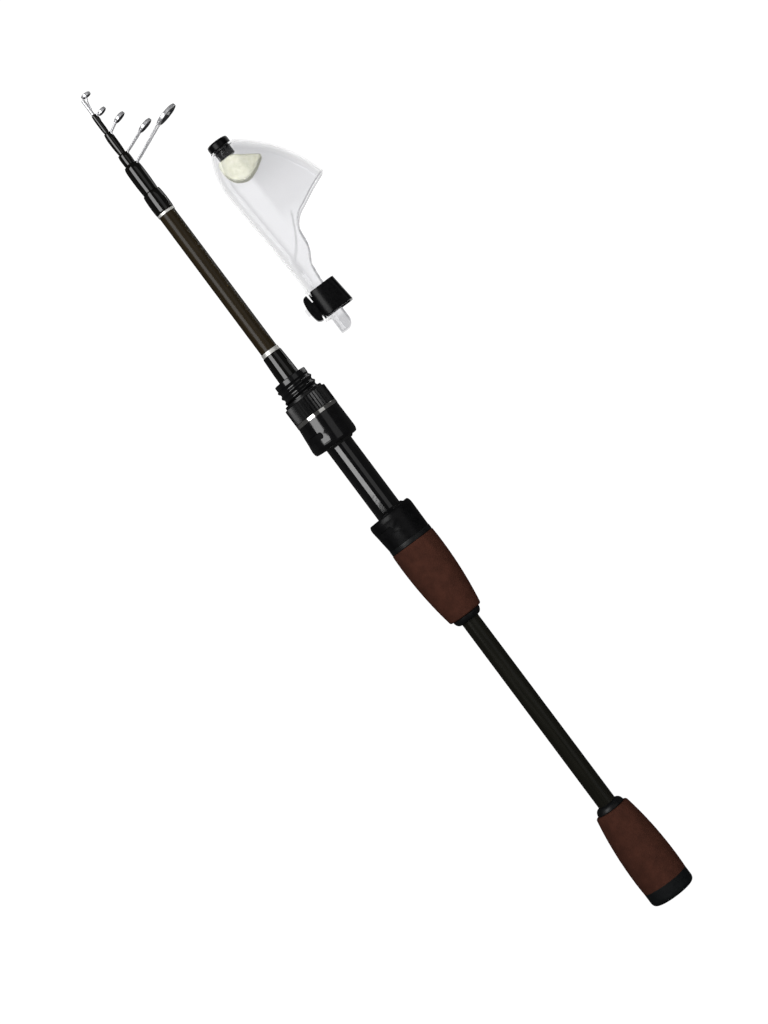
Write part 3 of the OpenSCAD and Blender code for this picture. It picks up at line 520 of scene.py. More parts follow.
# Grips and butt
X_BLANK, BLANK_R, BLANK_TAPER = 10, 5.59, 0.00085
REAR_GRIP_D, FORE_GRIP_D = 28.7, 28.2
GRIP_BELLY, GRIP_BELLY_DROP, GRIP_THIN_R, GRIP_EDGE, GRIP_CURVE = 8.5, 0.25, 10.7, 1.2, 2.1
FOAM_GRAIN, FOAM_INSIDE_R = ((0.035, 0.5), (0.02, 1.7)), 7
CAP_R, CAP_ROUND, CAP_SOCKET_R, CAP_SOCKET_FLOOR = 14.1, 3.6, 3.71, 4
CHECK_LENGTH, CHECK_FACE_R, CHECK_THIN_R, CHECK_RISE = 4, 8.5, 5.8, 3.0
TRIM_BORE_R, TRIM_R = 5.4, 13.65


def blank_r(x):
    """Radius of the main blank."""
    return BLANK_R - (x - X_BLANK) * BLANK_TAPER


def grip_outline(length, r):
    """Outside of a grip as (distance from its full end, radius)."""
    run = length - GRIP_BELLY - GRIP_EDGE
    points = [(GRIP_BELLY * i / 6, r - GRIP_BELLY_DROP * (1 - i / 6) ** 2) for i in range(6)]
    points += [(GRIP_BELLY + run * i / 60, r - (r - GRIP_THIN_R) * (i / 60) ** GRIP_CURVE) for i in range(61)]
    return points + arc((length - GRIP_EDGE, GRIP_THIN_R - GRIP_EDGE), GRIP_EDGE, (65, 50, 35, 20, 0))


def foam_grain(x, r, a):
    """Slight unevenness of sanded foam, outside only."""
    if r < FOAM_INSIDE_R:
        return r
    p = Vector((x, r * math.cos(a), r * math.sin(a)))
    return r + sum(height * noise.noise(p * grains) for height, grains in FOAM_GRAIN)


def grip(name, node, diameter, direction):
    """Foam grip that narrows in that direction along the rod."""
    start, end = extent(node, X)
    x_full = start if direction > 0 else end
    outer = [(x_full + direction * x, r) for x, r in grip_outline(round(end - start, 2), diameter / 2)]
    x0, x1 = outer[0][0], outer[-1][0]
    outline = [(x0, blank_r(x0))] + outer + [(x1, blank_r(x1))]
    obj = make(name, lathe(outline, 192, foam_grain), 40)
    place(obj, "handle", "eva", node)


def butt_cap():
    """Cap with a rounded end face and a socket for its screw plug."""
    outline = soften([(0, 0), (0, CAP_R, CAP_ROUND), (X_CAP, CAP_R, 0.3), (X_CAP, CAP_SOCKET_R),
                      (CAP_SOCKET_FLOOR, CAP_SOCKET_R), (CAP_SOCKET_FLOOR, 0)], 0.2, 10, False)
    place(make("butt_cap_rubber", lathe(outline)), "butt", "butt_cap", "butt_cap")


def check(name, node, x_wide, direction):
    """Domed ring, from its wide face towards the handle."""
    bore_r = blank_r(x_wide)
    angles = [math.radians(a) for a in range(5, 91, 5)]
    dome = [(x_wide + direction * CHECK_LENGTH * math.sin(a), CHECK_THIN_R + CHECK_RISE * math.cos(a))
            for a in angles]
    outline = [(x_wide, bore_r), (x_wide, CHECK_FACE_R), *dome, (x_wide + direction * CHECK_LENGTH, bore_r)]
    place(make(name, lathe(outline), 40), "handle", "trim", node)


grip("rear_grip_foam", "rear_grip", REAR_GRIP_D, 1)
grip("fore_grip_foam", "fore_grip", FORE_GRIP_D, -1)
butt_cap()
check("rear_check_dome", "rear_check", X_REAR_FRONT, 1)
check("fore_check_dome", "fore_check", X_FORE, -1)
trim_ring = plain_ring(X_FORE_FRONT, X_SEAT, TRIM_BORE_R, TRIM_R, 0.5, 0.5, 0.05)
place(make("trim_ring_band", trim_ring), "handle", "trim", "trim_ring")


# Hoods of the reel seat
SLOT_FROM_BACK, SLOT_HALF_W, SLOT_FLOOR_R, SLOT_BASE_R, SLOT_RISE = 10.1, 2.8, 13.56, 13.0, 0.46
SLOT_DEPTH, HOOD_FLARE, HOOD_R = 0.69, 0.05, 14.4
RUN_OUT = math.radians(25), math.radians(42)
SLOT_BEND, SLOT_END, DRAWN_IN = math.radians(55), math.radians(85), 0.7


def hood(name, node, body, x_back, toward_mouth, finish):
    """Copy of a hood's solid whose sunk slot has a dull floor and drawn-in ends.

    On the reel's side the floor comes up to the surface.
    """
    obj = link(name, frame["nodes"][node].data.copy())
    place(obj, body, "hood", node, finish)
    obj.data.materials.append(finishes["slot_floor"])
    x_slot = x_back + toward_mouth * SLOT_FROM_BACK
    middle = Vector((0, SLOT_RISE * MM, 0))

    def in_slot(point, top=SLOT_FLOOR_R):
        x, y, z = point / MM
        r = math.hypot(y - SLOT_RISE, z)
        return y > 0 and abs(x - x_slot) < SLOT_HALF_W and SLOT_BASE_R < r < top

    def turn(point):
        return abs(math.atan2(point.z, point.y - SLOT_RISE * MM))

    for face in obj.data.polygons:
        if in_slot(face.center) and turn(face.center) > RUN_OUT[0]:
            face.material_index = 1
    for v in obj.data.vertices:
        if in_slot(v.co):
            out = Vector((0, v.co.y - SLOT_RISE * MM, v.co.z)).normalized()
            depth = SLOT_DEPTH + HOOD_FLARE * toward_mouth * (v.co.x / MM - x_slot)
            v.co += out * depth * MM * (1 - ease(turn(v.co), *RUN_OUT))
        if in_slot(v.co, HOOD_R) and SLOT_BEND < turn(v.co) < SLOT_END:
            back = math.copysign((turn(v.co) - SLOT_BEND) * (1 - DRAWN_IN), v.co.z)
            v.co = middle + Matrix.Rotation(-back, 3, "X") @ (v.co - middle)


hood("fixed_hood_moulded", "fixed_hood", "handle", X_SEAT, 1, "satin_hood")
hood("sliding_hood_moulded", "sliding_hood", "hood", X_HOOD_FRONT, -1, "hood")


# Thread and nut of the reel seat
THREAD_PITCH, CREST_R, ROOT_R, CREST_SHARPNESS = 3.65, 10.95, 10.0, 1.3
SEAT_R, COLLAR_R = 8, 10.25
NUT_R, NUT_BORE_R, NUT_FRONT_BORE_R, FLANGE_R, FLANGE_LENGTH = 13.6, 11.5, 11.2, 12.25, 1.7
RIBS, STEPS_PER_RIB, RIB_DEPTH, RIB_BASE_R, RIB_FULL_R = 44, 12, 0.75, 12.4, 13.4
SKIRT_DEPTH, SKIRT_PLAY, SKIRT_LIP, SKIRT_LIP_R, SKIRT_R, NUT_GAP = 3.8, 0.1, 1.2, 12.45, 12.1, 0.02


def thread_part():
    """Sleeve with a rounded right-hand thread, cut off flat at both ends."""
    cols, rows = 120, 220
    length = X_SLEEVE_COLLAR - X_SLEEVE
    angles = [TAU * k / cols for k in range(cols)]
    verts = []
    for i in range(rows + 1):
        x = X_SLEEVE + length * i / rows
        for a in angles:
            phase = TAU * (x - X_SLEEVE) / THREAD_PITCH - a - math.pi
            r = ROOT_R + (CREST_R - ROOT_R) * (0.5 + 0.5 * math.cos(phase)) ** CREST_SHARPNESS
            verts.append((x, r * math.cos(a), r * math.sin(a)))
    for x in (X_SLEEVE_COLLAR, X_SLEEVE):
        verts += [(x, SEAT_R * math.cos(a), SEAT_R * math.sin(a)) for a in angles]
    return verts, strip(rows + 3, cols, True)


def nut_part():
    """Nut with fine ribs, a flange in front and a skirt that goes into the hood."""
    x_flange = X_NUT_FRONT - FLANGE_LENGTH
    x_skirt = X_HOOD_FRONT - SKIRT_DEPTH + SKIRT_PLAY
    x_lip, x_skirt_end = x_skirt + SKIRT_LIP, X_NUT - NUT_GAP
    body = soften([(X_NUT, NUT_BORE_R), (X_NUT, NUT_R, 0.3), (x_flange, NUT_R, 0.7),
                   (x_flange, FLANGE_R, 0.2), (X_NUT_FRONT, FLANGE_R, 0.5),
                   (X_NUT_FRONT, NUT_FRONT_BORE_R, 0.2)], 0.02)
    skirt = soften([(x_skirt, NUT_BORE_R), (x_skirt, SKIRT_LIP_R, 0.2), (x_lip, SKIRT_LIP_R, 0.2),
                    (x_lip, SKIRT_R), (x_skirt_end, SKIRT_R), (x_skirt_end, NUT_BORE_R)], 0.02)

    def ribbed(x, r, a):
        groove = 1 - abs((a * RIBS / TAU + 0.5) % 1 - 0.5) * 2
        return r - RIB_DEPTH * share(r, RIB_BASE_R, RIB_FULL_R) * groove

    return merge(lathe(body, RIBS * STEPS_PER_RIB, ribbed), lathe(skirt))


place(make("thread_sleeve_helix", thread_part(), 50), "handle", "nut", "thread_sleeve")
sleeve_collar = plain_ring(X_SLEEVE_COLLAR, X_SLEEVE_FRONT, SEAT_R, COLLAR_R, 0.4, 0.5)
place(make("sleeve_collar_ring", sleeve_collar), "handle", "nut", "sleeve_collar")
place(make("hood_nut_ribbed", nut_part(), 40), "nut", "nut", "hood_nut", "nut_ribs")
nut_ring = plain_ring(X_NUT_RING, X_NUT, SKIRT_R, NUT_R, 0.35, 0.35)
place(make("nut_ring_bright", nut_ring), "nut", "bright_ring", "nut_ring")


# Windings and bands of the main blank
FRONT_BACK_H, FRONT_FRONT_H, FRONT_FLAT = 1.3, 0.75, 6.2
BAND_H, BAND_ROUND = 0.35, 0.15
TIP_BORE_R = 4.9


def front_winding():
    """Winding that falls from the seat's end to the silver band."""
    x0, x1 = X_SLEEVE_FRONT, X_WINDING_FRONT
    r0, r1 = blank_r(x0) + FRONT_BACK_H, blank_r(x1) + FRONT_FRONT_H
    outline = soften([(x0, blank_r(x0)), (x0, r0, 0.3), (x0 + FRONT_FLAT, r0 - 0.12, 2.0),
                      (x1 - 0.4, r1, 0.5), (x1, r1 - 0.15, 0.1), (x1, blank_r(x1))], 0.02)
    place(make("front_winding_cone", lathe(outline)), "handle", "winding", "front_winding")


def band(name, node, x0, x1):
    """Silver band on the blank."""
    r = blank_r(x0)
    ring = plain_ring(x0, x1, r - 0.01, r + BAND_H, BAND_ROUND, BAND_ROUND)
    place(make(name, ring), "handle", "band", node)


def tip_winding():
    """Winding that swells at the main blank's mouth."""
    x0, x1 = X_TIP_WINDING, X_MAIN_TIP
    swell = [(x0, 5.43), (x0 + 0.5, 5.62), (x0 + 2, 5.78), (x0 + 6.5, 5.84), (x1 - 4, 5.74), (x1 - 1.2, 5.52),
             (x1, 5.34)]
    outline = [(x0, TIP_BORE_R)] + flat_spline(swell, 6) + [(x1, TIP_BORE_R)]
    place(make("tip_winding_lacquer", lathe(outline)), "handle", "winding", "tip_winding")


front_winding()
band("front_band_silver", "front_band", X_WINDING_FRONT, X_BAND_FRONT)
band("tip_band_silver", "tip_band", X_TIP_BAND, X_TIP_WINDING)
tip_winding()


# Collars by section: body, tube radius, thickness of the winding and how full it is along its length
COLLARS = {
    2: ("second", 3.98, 1.02, ((0, 0.52), (0.04, 0.74), (0.2, 0.88), (0.38, 0.99), (0.55, 1.0), (0.72, 0.97),
                               (0.85, 0.88), (0.93, 0.68), (1, 0.22))),
    3: ("third", 2.8, 0.6, ((0, 0.55), (0.08, 0.78), (0.3, 0.92), (0.55, 0.95), (0.78, 0.84), (0.92, 0.58),
                            (1, 0.25))),
    4: ("fourth", 2.0, 0.6, ((0, 0.3), (0.06, 0.45), (0.2, 0.74), (0.4, 0.94), (0.57, 1.0), (0.75, 0.93),
                             (0.88, 0.64), (0.96, 0.36), (1, 0.15))),
    5: ("fifth", 1.27, 0.48, ((0, 0.3), (0.1, 0.75), (0.3, 1.0), (0.55, 0.97), (0.8, 0.88), (0.93, 0.6),
                              (1, 0.25))),
}
# Guide rings by section: station, distance from the rod's axis and diameter
RINGS = {2: (523.3, 33, 15.1), 3: (525.6, 19.8, 9.7), 4: (537.9, 10.9, 7.8), 5: (546.6, 5, 5.8)}
RING_WALL, RING_WIDTH, RING_ROUND = 0.7, 1.7, 0.3
LINING_WALL, LINING_WIDTH, LINING_OVERLAP, LINING_BULGE, LINING_ROUND = 0.5, 2.3, 0.02, 0.22, 0.25
LEG_R, FOOT_RUN, NOSE = 0.45, 2.6, 1.6
JOINT_R = 1.25 * LEG_R
LEAN, LEG_SPREAD, FOOT_SPREAD = math.radians(14), math.radians(38), math.radians(32)
SWELL_START, SWELL_RISE, SWELL_FALL, SWELL_HALF_W = 1.2, 1.4, 0.8, 0.55
SWELL_LEAST, SWELL_SKIN, COLLAR_SINK = 0.12, 0.15, 0.02


def collar(section):
    """Lacquered winding that swells over the two feet of the guide."""
    body, r, t, fullness = COLLARS[section]
    x0, x1 = extent(f"collar_{section}", X)
    curve = flat_spline([(x0 + (x1 - x0) * u, r + k * t) for u, k in fullness], 6)
    top = max(SWELL_LEAST, 2 * LEG_R + SWELL_SKIN - t)
    x_swell = x1 - FOOT_RUN - NOSE - SWELL_START

    def over_feet(x, q, a):
        if q < r + 0.1 * t:
            return q
        along = share(x, x_swell, x_swell + SWELL_RISE) * share(x1 - x, 0, SWELL_FALL)
        aside = [(a - math.pi - side * FOOT_SPREAD) * (r + t) / SWELL_HALF_W for side in (1, -1)]
        return q + top * max(math.exp(-distance ** 2) for distance in aside) * ease(along, 0, 1)

    part = lathe([(x0, r - COLLAR_SINK), *curve, (x1, r - COLLAR_SINK)], 180, over_feet)
    place(make(f"collar_{section}_lacquer", part, 50), body, "winding", f"collar_{section}")


def ring_part(diameter):
    """Wire ring about X with rounded edges."""
    half, r = RING_WIDTH / 2, diameter / 2
    outline = [(-half, r - RING_WALL), (-half, r), (half, r), (half, r - RING_WALL)]
    return lathe(soften(outline, RING_ROUND), 72)


def lining_part(diameter):
    """Ceramic lining of a ring of that diameter, with its inside bulging."""
    half, r = LINING_WIDTH / 2, diameter / 2 - RING_WALL + LINING_OVERLAP
    bore_r = r - LINING_WALL
    edge = [(-half, bore_r + 0.1), (-half, r), (half, r), (half, bore_r + 0.1)]
    angles = [math.radians(a) for a in range(80, -81, -20)]
    inside = [(half * math.sin(a), bore_r - LINING_BULGE * math.cos(a)) for a in angles]
    return lathe(soften(edge, LINING_ROUND, 4)[3:-3] + inside, 72)


def guide(section):
    """Wire guide: ring, lining and two bent legs whose feet are bound in by the collar."""
    body, tube_r = COLLARS[section][:2]
    x1 = extent(f"collar_{section}", X)[1]
    x, height, diameter = RINGS[section]
    at_ring = Matrix.Translation((x, -height, 0)) @ Matrix.Rotation(LEAN, 4, "Z")
    foot_r = tube_r + LEG_R + 0.05
    wire_r = (diameter - RING_WALL) / 2
    low = -wire_r * math.cos(LEG_SPREAD)
    parts = [moved(ring_part(diameter), at_ring)]
    for side in (1, -1):
        foot = Vector((x1 - NOSE - FOOT_RUN, -foot_r * math.cos(FOOT_SPREAD),
                       side * foot_r * math.sin(FOOT_SPREAD)))
        bend = foot + Vector((FOOT_RUN + NOSE / 2, -LEG_R / 2, 0))
        top = Vector((x + low * math.sin(LEAN), -height - low * math.cos(LEAN),
                      side * wire_r * math.sin(LEG_SPREAD)))
        rise = top - bend
        path = [foot, foot + Vector((FOOT_RUN * 0.6, -0.02, 0)), bend - Vector((0.35, -0.08, 0)),
                bend + rise * 0.06 + Vector((0.12, 0, 0)), bend + rise * 0.2, bend + rise * 0.55,
                bend + rise * 0.9, top]
        joint = [top - rise.normalized() * 0.2, top, top + rise.normalized() * 0.55]
        parts += [tube(spline(path, 6), LEG_R, 18), tube(joint, JOINT_R, 18)]
    place(make(f"guide_{section}_wire", merge(*parts), 45), body, "wire", f"guide_frame_{section}")
    lining = moved(lining_part(diameter), at_ring)
    place(make(f"guide_{section}_ceramic", lining, 50), body, "lining", f"guide_lining_{section}")


for section in COLLARS:
    collar(section)
    guide(section)


# Tip top
TIP_TUBE_R, TIP_TUBE_BORE_R = 1.0, 0.6
TIP_RING_X, TIP_RING_HEIGHT, TIP_RING_D = 559.1, 3.2, 5.8
BRACE_R, BRACE_FOOT_R, BRACE_RUN = 0.3, 1.38, 5.77


def tip_top():
    """Tube on the tip rod, ring with two braces and a stay, and lining."""
    outline = soften([(X_TIP_TUBE, TIP_TUBE_BORE_R), (X_TIP_TUBE, TIP_TUBE_R, 0.12),
                      (X_TIP_END, TIP_TUBE_R, 0.7), (X_TIP_END, 0)], 0.1, 6, False)
    place(make("tip_tube_metal", lathe([(X_TIP_TUBE, 0)] + outline)), "tip", "wire", "tip_tube")
    at_ring = Matrix.Translation((TIP_RING_X, -TIP_RING_HEIGHT, 0))
    wire_r = (TIP_RING_D - RING_WALL) / 2
    parts = [moved(ring_part(TIP_RING_D), at_ring)]
    for side in (1, -1):
        start = Vector((TIP_RING_X, -TIP_RING_HEIGHT, side * wire_r))
        end = Vector((X_TIP_END - BRACE_RUN, -BRACE_FOOT_R * math.cos(FOOT_SPREAD),
                      side * BRACE_FOOT_R * math.sin(FOOT_SPREAD)))
        middle = (start + end) / 2 + Vector((0, 0.35, side * 0.15))
        parts.append(tube(spline([start, middle, end, end + Vector((-0.9, 0.12, 0))], 8), BRACE_R, 14))
    stay_y = -TIP_RING_HEIGHT + wire_r
    parts.append(tube([(X_TIP_END - 0.5, stay_y, 0), (TIP_RING_X, stay_y, 0)], BRACE_R, 14))
    place(make("tip_top_wire", merge(*parts), 45), "tip", "wire", "tip_frame")
    place(make("tip_ceramic", moved(lining_part(TIP_RING_D), at_ring), 50), "tip", "lining", "tip_lining")


tip_top()


# Tip cover, drawn with its neck along a, its height b away from the rod and its width w
COVER_X, COVER_Y, COVER_Z = sum(extent("cover_strap", X)) / 2, -42, (FLOOR_Z + COVER_TOP_Z) / 2
TONGUE_BACK, COVER_LENGTH = [round(x - COVER_X, 2) for x in extent("cover_shell", X)]
COVER_HALF_W, COVER_WALL, COVER_EDGE = (COVER_TOP_Z - FLOOR_Z) / 2, 1.3, 5.6
NECK_R, NECK_BORE, NECK_MID, NECK_TOP, NECK_FRONT = 6.85, 5.55, 1.15, 5.7, 20
RIB_IN, RIB_OUT, RIB_H, TONGUE_ROUND, TONGUE_LOW = 9.2, 10.4, 0.7, 4.5, -3
PEG_R, PEG_HEAD_R, PEG_BASE, PEG_TOP, PEG_HEAD, PEG_END = 1.5, 2.4, -5.05, -11.9, -11.1, -12.7
PLUG_RISE, PLUG_R, PLUG_HEAD_R, PLUG_DEPTH, PLUG_HEAD, PLUG_HOLE_DEPTH = 4.6, 5.2, 6.7, 6.2, 4.6, 2.6
SHELL_VOXEL, PAD_VOXEL = 0.45, 0.5
PAD_GRAIN, PAD_GRAINS, PAD_SINK = 0.12, 450, 0.05
# Reach of the parts that cut: across the cover, along its neck, above it, far round it and past a face
ACROSS, BEYOND, ABOVE, FAR, SPARE = 20, 40, 80, 200, 0.5


def in_cover(part):
    """The part moved from the cover's own axes to its place beside the rod."""
    return moved(part, lambda a, b, w: (COVER_X + a, COVER_Y - b, COVER_Z - w))


def bowed(p, q, bulge, steps=20):
    """Points from p to q on a curve that bulges to the left of the way there."""
    p, q = Vector(p), Vector(q)
    left = Vector((p.y - q.y, q.x - p.x)).normalized()
    shares = [i / steps for i in range(steps + 1)]
    return [tuple(p.lerp(q, t) + left * 4 * bulge * t * (1 - t)) for t in shares]


# Side view of the chamber: its bowed back from the crest to the end, the end, and its spine back to the neck
CREST, END_HIGH, END_LOW = (59, 43.5), (COVER_LENGTH, 12.7), (COVER_LENGTH, -2.5)
SPINE_BEND, SPINE_NECK, THROAT = (78, -8.8), (23, -5.7), (31, 14.5)
CHAMBER = bowed(CREST, END_HIGH, 5) + bowed(END_LOW, SPINE_BEND, 2) + [SPINE_NECK, THROAT]
# Edge of the mouth from the crest to the neck
RIM = flat_spline([(59.3, 44.6), (59, 43.1), (57.3, 38), (54.5, 31.3), (51.1, 24.5), (48.3, 18.9),
                   (44.4, 15), (39.9, 12.9), (33.1, 12.1), (28.6, 11), (24.7, 8.8), (21.3, 7.1),
                   (16.3, 6.3), (10.4, 5.7)], 6)
# Fine line across the moulding, drawn only as a line of painted shade
GREY_LINE = flat_spline([(51.5, 15.0), (45.5, 12.1), (38.7, 8.5), (33.2, 4.6), (28.4, -0.2)], 24)
# Slope of the two faces towards the spine: where it starts, how steep it is and how softly it sets in
SLOPE_TOP, SLOPE_BACK, SLOPE_FRONT, SLOPE, SLOPE_SOFTNESS = 9.5, 24, 34, 0.0092, 2


def inset(outline, distance):
    """A convex outline, given clockwise, drawn in by a distance."""
    out = [(-FAR, -FAR), (-FAR, FAR), (FAR, FAR), (FAR, -FAR)]
    for i, p in enumerate(outline):
        q = outline[(i + 1) % len(outline)]
        edge = Vector((q[0] - p[0], q[1] - p[1])).normalized()
        inward = Vector((edge.y, -edge.x))
        depth = [inward.dot(Vector(v) - Vector(p)) - distance for v in out]
        clipped = []
        for k, v in enumerate(out):
            if depth[k - 1] * depth[k] < 0:
                t = depth[k - 1] / (depth[k - 1] - depth[k])
                clipped.append(tuple(Vector(out[k - 1]).lerp(Vector(v), t)))
            if depth[k] >= 0:
                clipped.append(v)
        out = clipped
    return out


def neck_outline(r, top):
    """Section of the neck as (b, w): a round spine with straight sides."""
    return arc((NECK_MID, 0), r, range(90, 271, 6)) + [(top, -r), (top, r)]


def neck_bar(a0, a1, r, top):
    """Length of the neck, filled."""
    return loft([[(a, b, w) for b, w in neck_outline(r, top)] for a in (a0, a1)])


def chamber(margin):
    """The chamber with round edges, drawn in by a margin, and its way into the neck."""
    half, edge = COVER_HALF_W - margin, COVER_EDGE - margin
    points = []
    for t in [math.radians(a) for a in range(0, 91, 10)]:
        for side in (-1, 1):
            w = side * (half - edge * (1 - math.sin(t)))
            points += [(a, b, w) for a, b in inset(CHAMBER, margin + edge * (1 - math.cos(t)))]
    points += [(NECK_FRONT - margin, b, w) for b, w in neck_outline(NECK_R - margin, NECK_TOP)]
    return hull(points)


def upright(a, b0, b1, r):
    """Round peg along b."""
    angles = [TAU * k / 32 for k in range(32)]
    return loft([[(a + r * math.cos(t), b, r * math.sin(t)) for t in angles] for b in (b0, b1)])


def at_plug(outline, segments=144):
    """Outline turned round the plug's axis."""
    return moved(lathe(outline, segments), Matrix.Translation((0, PLUG_RISE, 0)))


def shell_form():
    """The clear moulding: chamber, neck with two ribs, tongue and peg, hollowed and opened."""
    x_tongue, x_cut = TONGUE_BACK - 0.1, -RIB_OUT - 0.03
    mouth = RIM + [(-BEYOND, NECK_TOP), (-BEYOND, ABOVE), (ABOVE, ABOVE), (75, 44.6)]
    below_tongue = [(-BEYOND, -30), (x_cut, -30), (x_cut, TONGUE_LOW), (-BEYOND, TONGUE_LOW)]
    tongue_round = arc((TONGUE_BACK + TONGUE_ROUND, NECK_TOP - TONGUE_ROUND), TONGUE_ROUND, range(90, 181, 9))
    tongue_corner = [(x_tongue, NECK_TOP + 0.1), (TONGUE_BACK + TONGUE_ROUND, NECK_TOP + 0.1), *tongue_round,
                     (x_tongue, NECK_TOP - TONGUE_ROUND)]
    x_hole, x_out = COVER_LENGTH - PLUG_HOLE_DEPTH, COVER_LENGTH + 1
    plug_hole = at_plug([(x_hole, 0), (x_hole, PLUG_R), (x_out, PLUG_R), (x_out, 0)], 64)
    added = [neck_bar(TONGUE_BACK, NECK_FRONT + SPARE, NECK_R, NECK_TOP + 1)]
    added += [neck_bar(a0, a1, NECK_R + RIB_H, NECK_TOP + 0.6)
              for a0, a1 in ((RIB_IN, RIB_OUT), (-RIB_OUT, -RIB_IN))]
    added += [upright(0, PEG_BASE, PEG_TOP, PEG_R), upright(0, PEG_HEAD, PEG_END, PEG_HEAD_R)]
    cut = [chamber(COVER_WALL), neck_bar(-BEYOND, NECK_FRONT + SPARE, NECK_BORE, 2 * NECK_TOP)]
    cut += [prism(outline, -ACROSS, ACROSS) for outline in (mouth, below_tongue, tongue_corner)]
    cut.append(plug_hole)
    shell = make("cover_shell_clear", chamber(0))
    for part in added:
        combine(shell, part, "UNION")
    for part in cut:
        combine(shell, part, "DIFFERENCE")
    return shell


def soften_shell(shell):
    """Rounds the moulding's edges a little and lets its two faces slope towards the spine."""
    exact = link("cover_shell_exact", shell.data)
    add_remesh(shell, SHELL_VOXEL)
    add_smoothing(shell, 4)
    shell.modifiers.new("settle", "SHRINKWRAP").target = exact
    add_smoothing(shell, 8)
    apply_modifiers(shell)
    bpy.data.objects.remove(exact)
    for v in shell.data.vertices:
        fall = max(0, SLOPE_TOP - v.co.y / MM) * share(v.co.x / MM, SLOPE_BACK, SLOPE_FRONT)
        v.co.z *= 1 - SLOPE * (math.sqrt(fall * fall + SLOPE_SOFTNESS ** 2) - SLOPE_SOFTNESS)


def distance_to(points):
    """Function for the distance from a and b to the nearest of these points."""
    tree = kdtree.KDTree(len(points))
    for i, p in enumerate(points):
        tree.insert((p[0], p[1], 0), i)
    tree.balance()
    return lambda a, b: tree.find((a, b, 0))[2]


def near(gap, full, none):
    """1 within the first distance, 0 beyond the second and smooth between."""
    return ease(-gap, -none, -full)


def shade_shell(shell):
    """Writes painted shade for how grey the moulding looks at each point: at its rim, along the fine line,
    beside the spine, on the tongue and on the half away from the spine.
    """
    spine = bowed(END_LOW, SPINE_BEND, 2, 60) + bowed(SPINE_BEND, SPINE_NECK, 0, 55)
    spine += [(a, SPINE_NECK[1]) for a in range(22, -11, -1)]
    rim_gap = distance_to(RIM + [(a, NECK_TOP) for a in range(10, -17, -1)])
    grey_line_gap = distance_to(GREY_LINE)
    spine_gap = distance_to(spine)
    # Painted shade that stands in for the clear moulding's darker tones at its rim, lines, spine and far half
    painted_shade = shell.data.attributes.new("painted_shade", "FLOAT", "POINT")
    for v in shell.data.vertices:
        a, b = v.co.x / MM, v.co.y / MM
        flat = ease(abs(v.normal.z), 0.5, 0.9)
        rim = near(rim_gap(a, b), 0.7, 1.4)
        grey_line = flat * 0.45 * near(grey_line_gap(a, b), 0.2, 0.75)
        beside_spine = flat * 0.3 * math.exp(-((spine_gap(a, b) - 5.2) / 1.9) ** 2)
        # Painted shade: the half away from the spine darker, more so towards the plug
        far_half = flat * ease(b, 7, 11) * ease(a, 44, 60) * (0.16 + 0.22 * ease(a, 60, 92))
        tongue = 0.45 * ease(-a, 10, 13)
        painted_shade.data[v.index].value = max(rim, grey_line, beside_spine, far_half, tongue)


def cover_shell():
    """Clear shell, set in its place beside the rod. It throws no shadow."""
    shell = shell_form()
    soften_shell(shell)
    shade_shell(shell)
    to_place = Matrix.Translation([c * MM for c in (COVER_X, COVER_Y, COVER_Z)])
    shell.data.transform(to_place @ Matrix.Rotation(math.pi, 4, "X"))
    smooth(shell, 180)
    shell.visible_shadow = False
    place(shell, "cover", "clear", "cover_shell")


def cover_plug():
    """Rubber plug with a rounded head, pushed into the chamber's end."""
    x_in, x_out = COVER_LENGTH - PLUG_DEPTH, COVER_LENGTH + PLUG_HEAD
    outline = soften([(x_in, 0), (x_in, PLUG_R, 0.6), (COVER_LENGTH, PLUG_R, 0.1),
                      (COVER_LENGTH, PLUG_HEAD_R, 0.4), (x_out, PLUG_HEAD_R, 1.6), (x_out, 0)], 0.1, 8, False)
    place(make("cover_plug_rubber", in_cover(at_plug(outline)), 40), "cover", "cover_rubber", "cover_plug")


def cover_pad():
    """Leaf-shaped block of foam with rounded edges and a slightly uneven skin."""
    leaf = [(97.8, 6.6, 2.0), (87.3, 21.6, 2.5), (82.3, 13.4, 4.0), (79.9, 6.3, 4.0), (84, -1.2, 4.0),
            (92, -3.6, 4.0), (97.6, -2.6, 2.0)]
    middle = Vector((88.7, 7))
    layers = ((7.2, 0.84), (6.8, 0.93), (6.0, 0.98), (5.0, 1.0))
    points = []
    for w, scale in layers:
        for q in soften(leaf, 2.0, 5):
            p = middle + (Vector(q) - middle) * scale
            points += [(p.x, p.y, w), (p.x, p.y, -w)]
    pad = make("cover_pad_foam", in_cover(hull(points)))
    add_remesh(pad, PAD_VOXEL)
    add_smoothing(pad, 4)
    apply_modifiers(pad)
    for v in pad.data.vertices:
        v.co += v.normal * (PAD_GRAIN * noise.noise(v.co * PAD_GRAINS) - PAD_SINK) * MM
    smooth(pad, 80)
    place(pad, "cover", "foam", "cover_pad")


# Strap: its stations along the neck, and its tab's layers across, are pairs of place and scale
STRAP_TOP, STRAP_LEAN = 12.6, 0.09
STRAP_R, STRAP_BORE_R, STRAP_WALL, STRAP_CORNER, STRAP_BORE_CORNER = 8.55, 7.05, 1.5, 3.0, 1.6
STRAP_STATIONS = ((-8.4, 0.975), (-8.2, 0.992), (-7.6, 1.0), (-4, 1.0), (0, 1.0), (4, 1.0), (7.6, 1.0),
                  (8.2, 0.992), (8.4, 0.975))
TAB = [(-8.3, -4.2, 0.5), (-8.2, -10.0, 2.8), (0, -11.4, 9.0), (8.2, -10.0, 2.8), (8.3, -4.2, 0.5),
       (0, -3.4, 6.0)]
TAB_LAYERS = ((-5, 0.93), (-4.6, 0.98), (-4, 1.0), (4, 1.0), (4.6, 0.98), (5, 0.93))
TAB_MIDDLE, TAB_HOLE_R, TAB_HOLE_TOP, TAB_HOLE_END, NECK_PLAY = -7, 1.6, -4, -14, 0.2
# Notches: side of the peg, and how near to it they reach
NOTCHES = ((1, 3.0), (-1, 6.0))


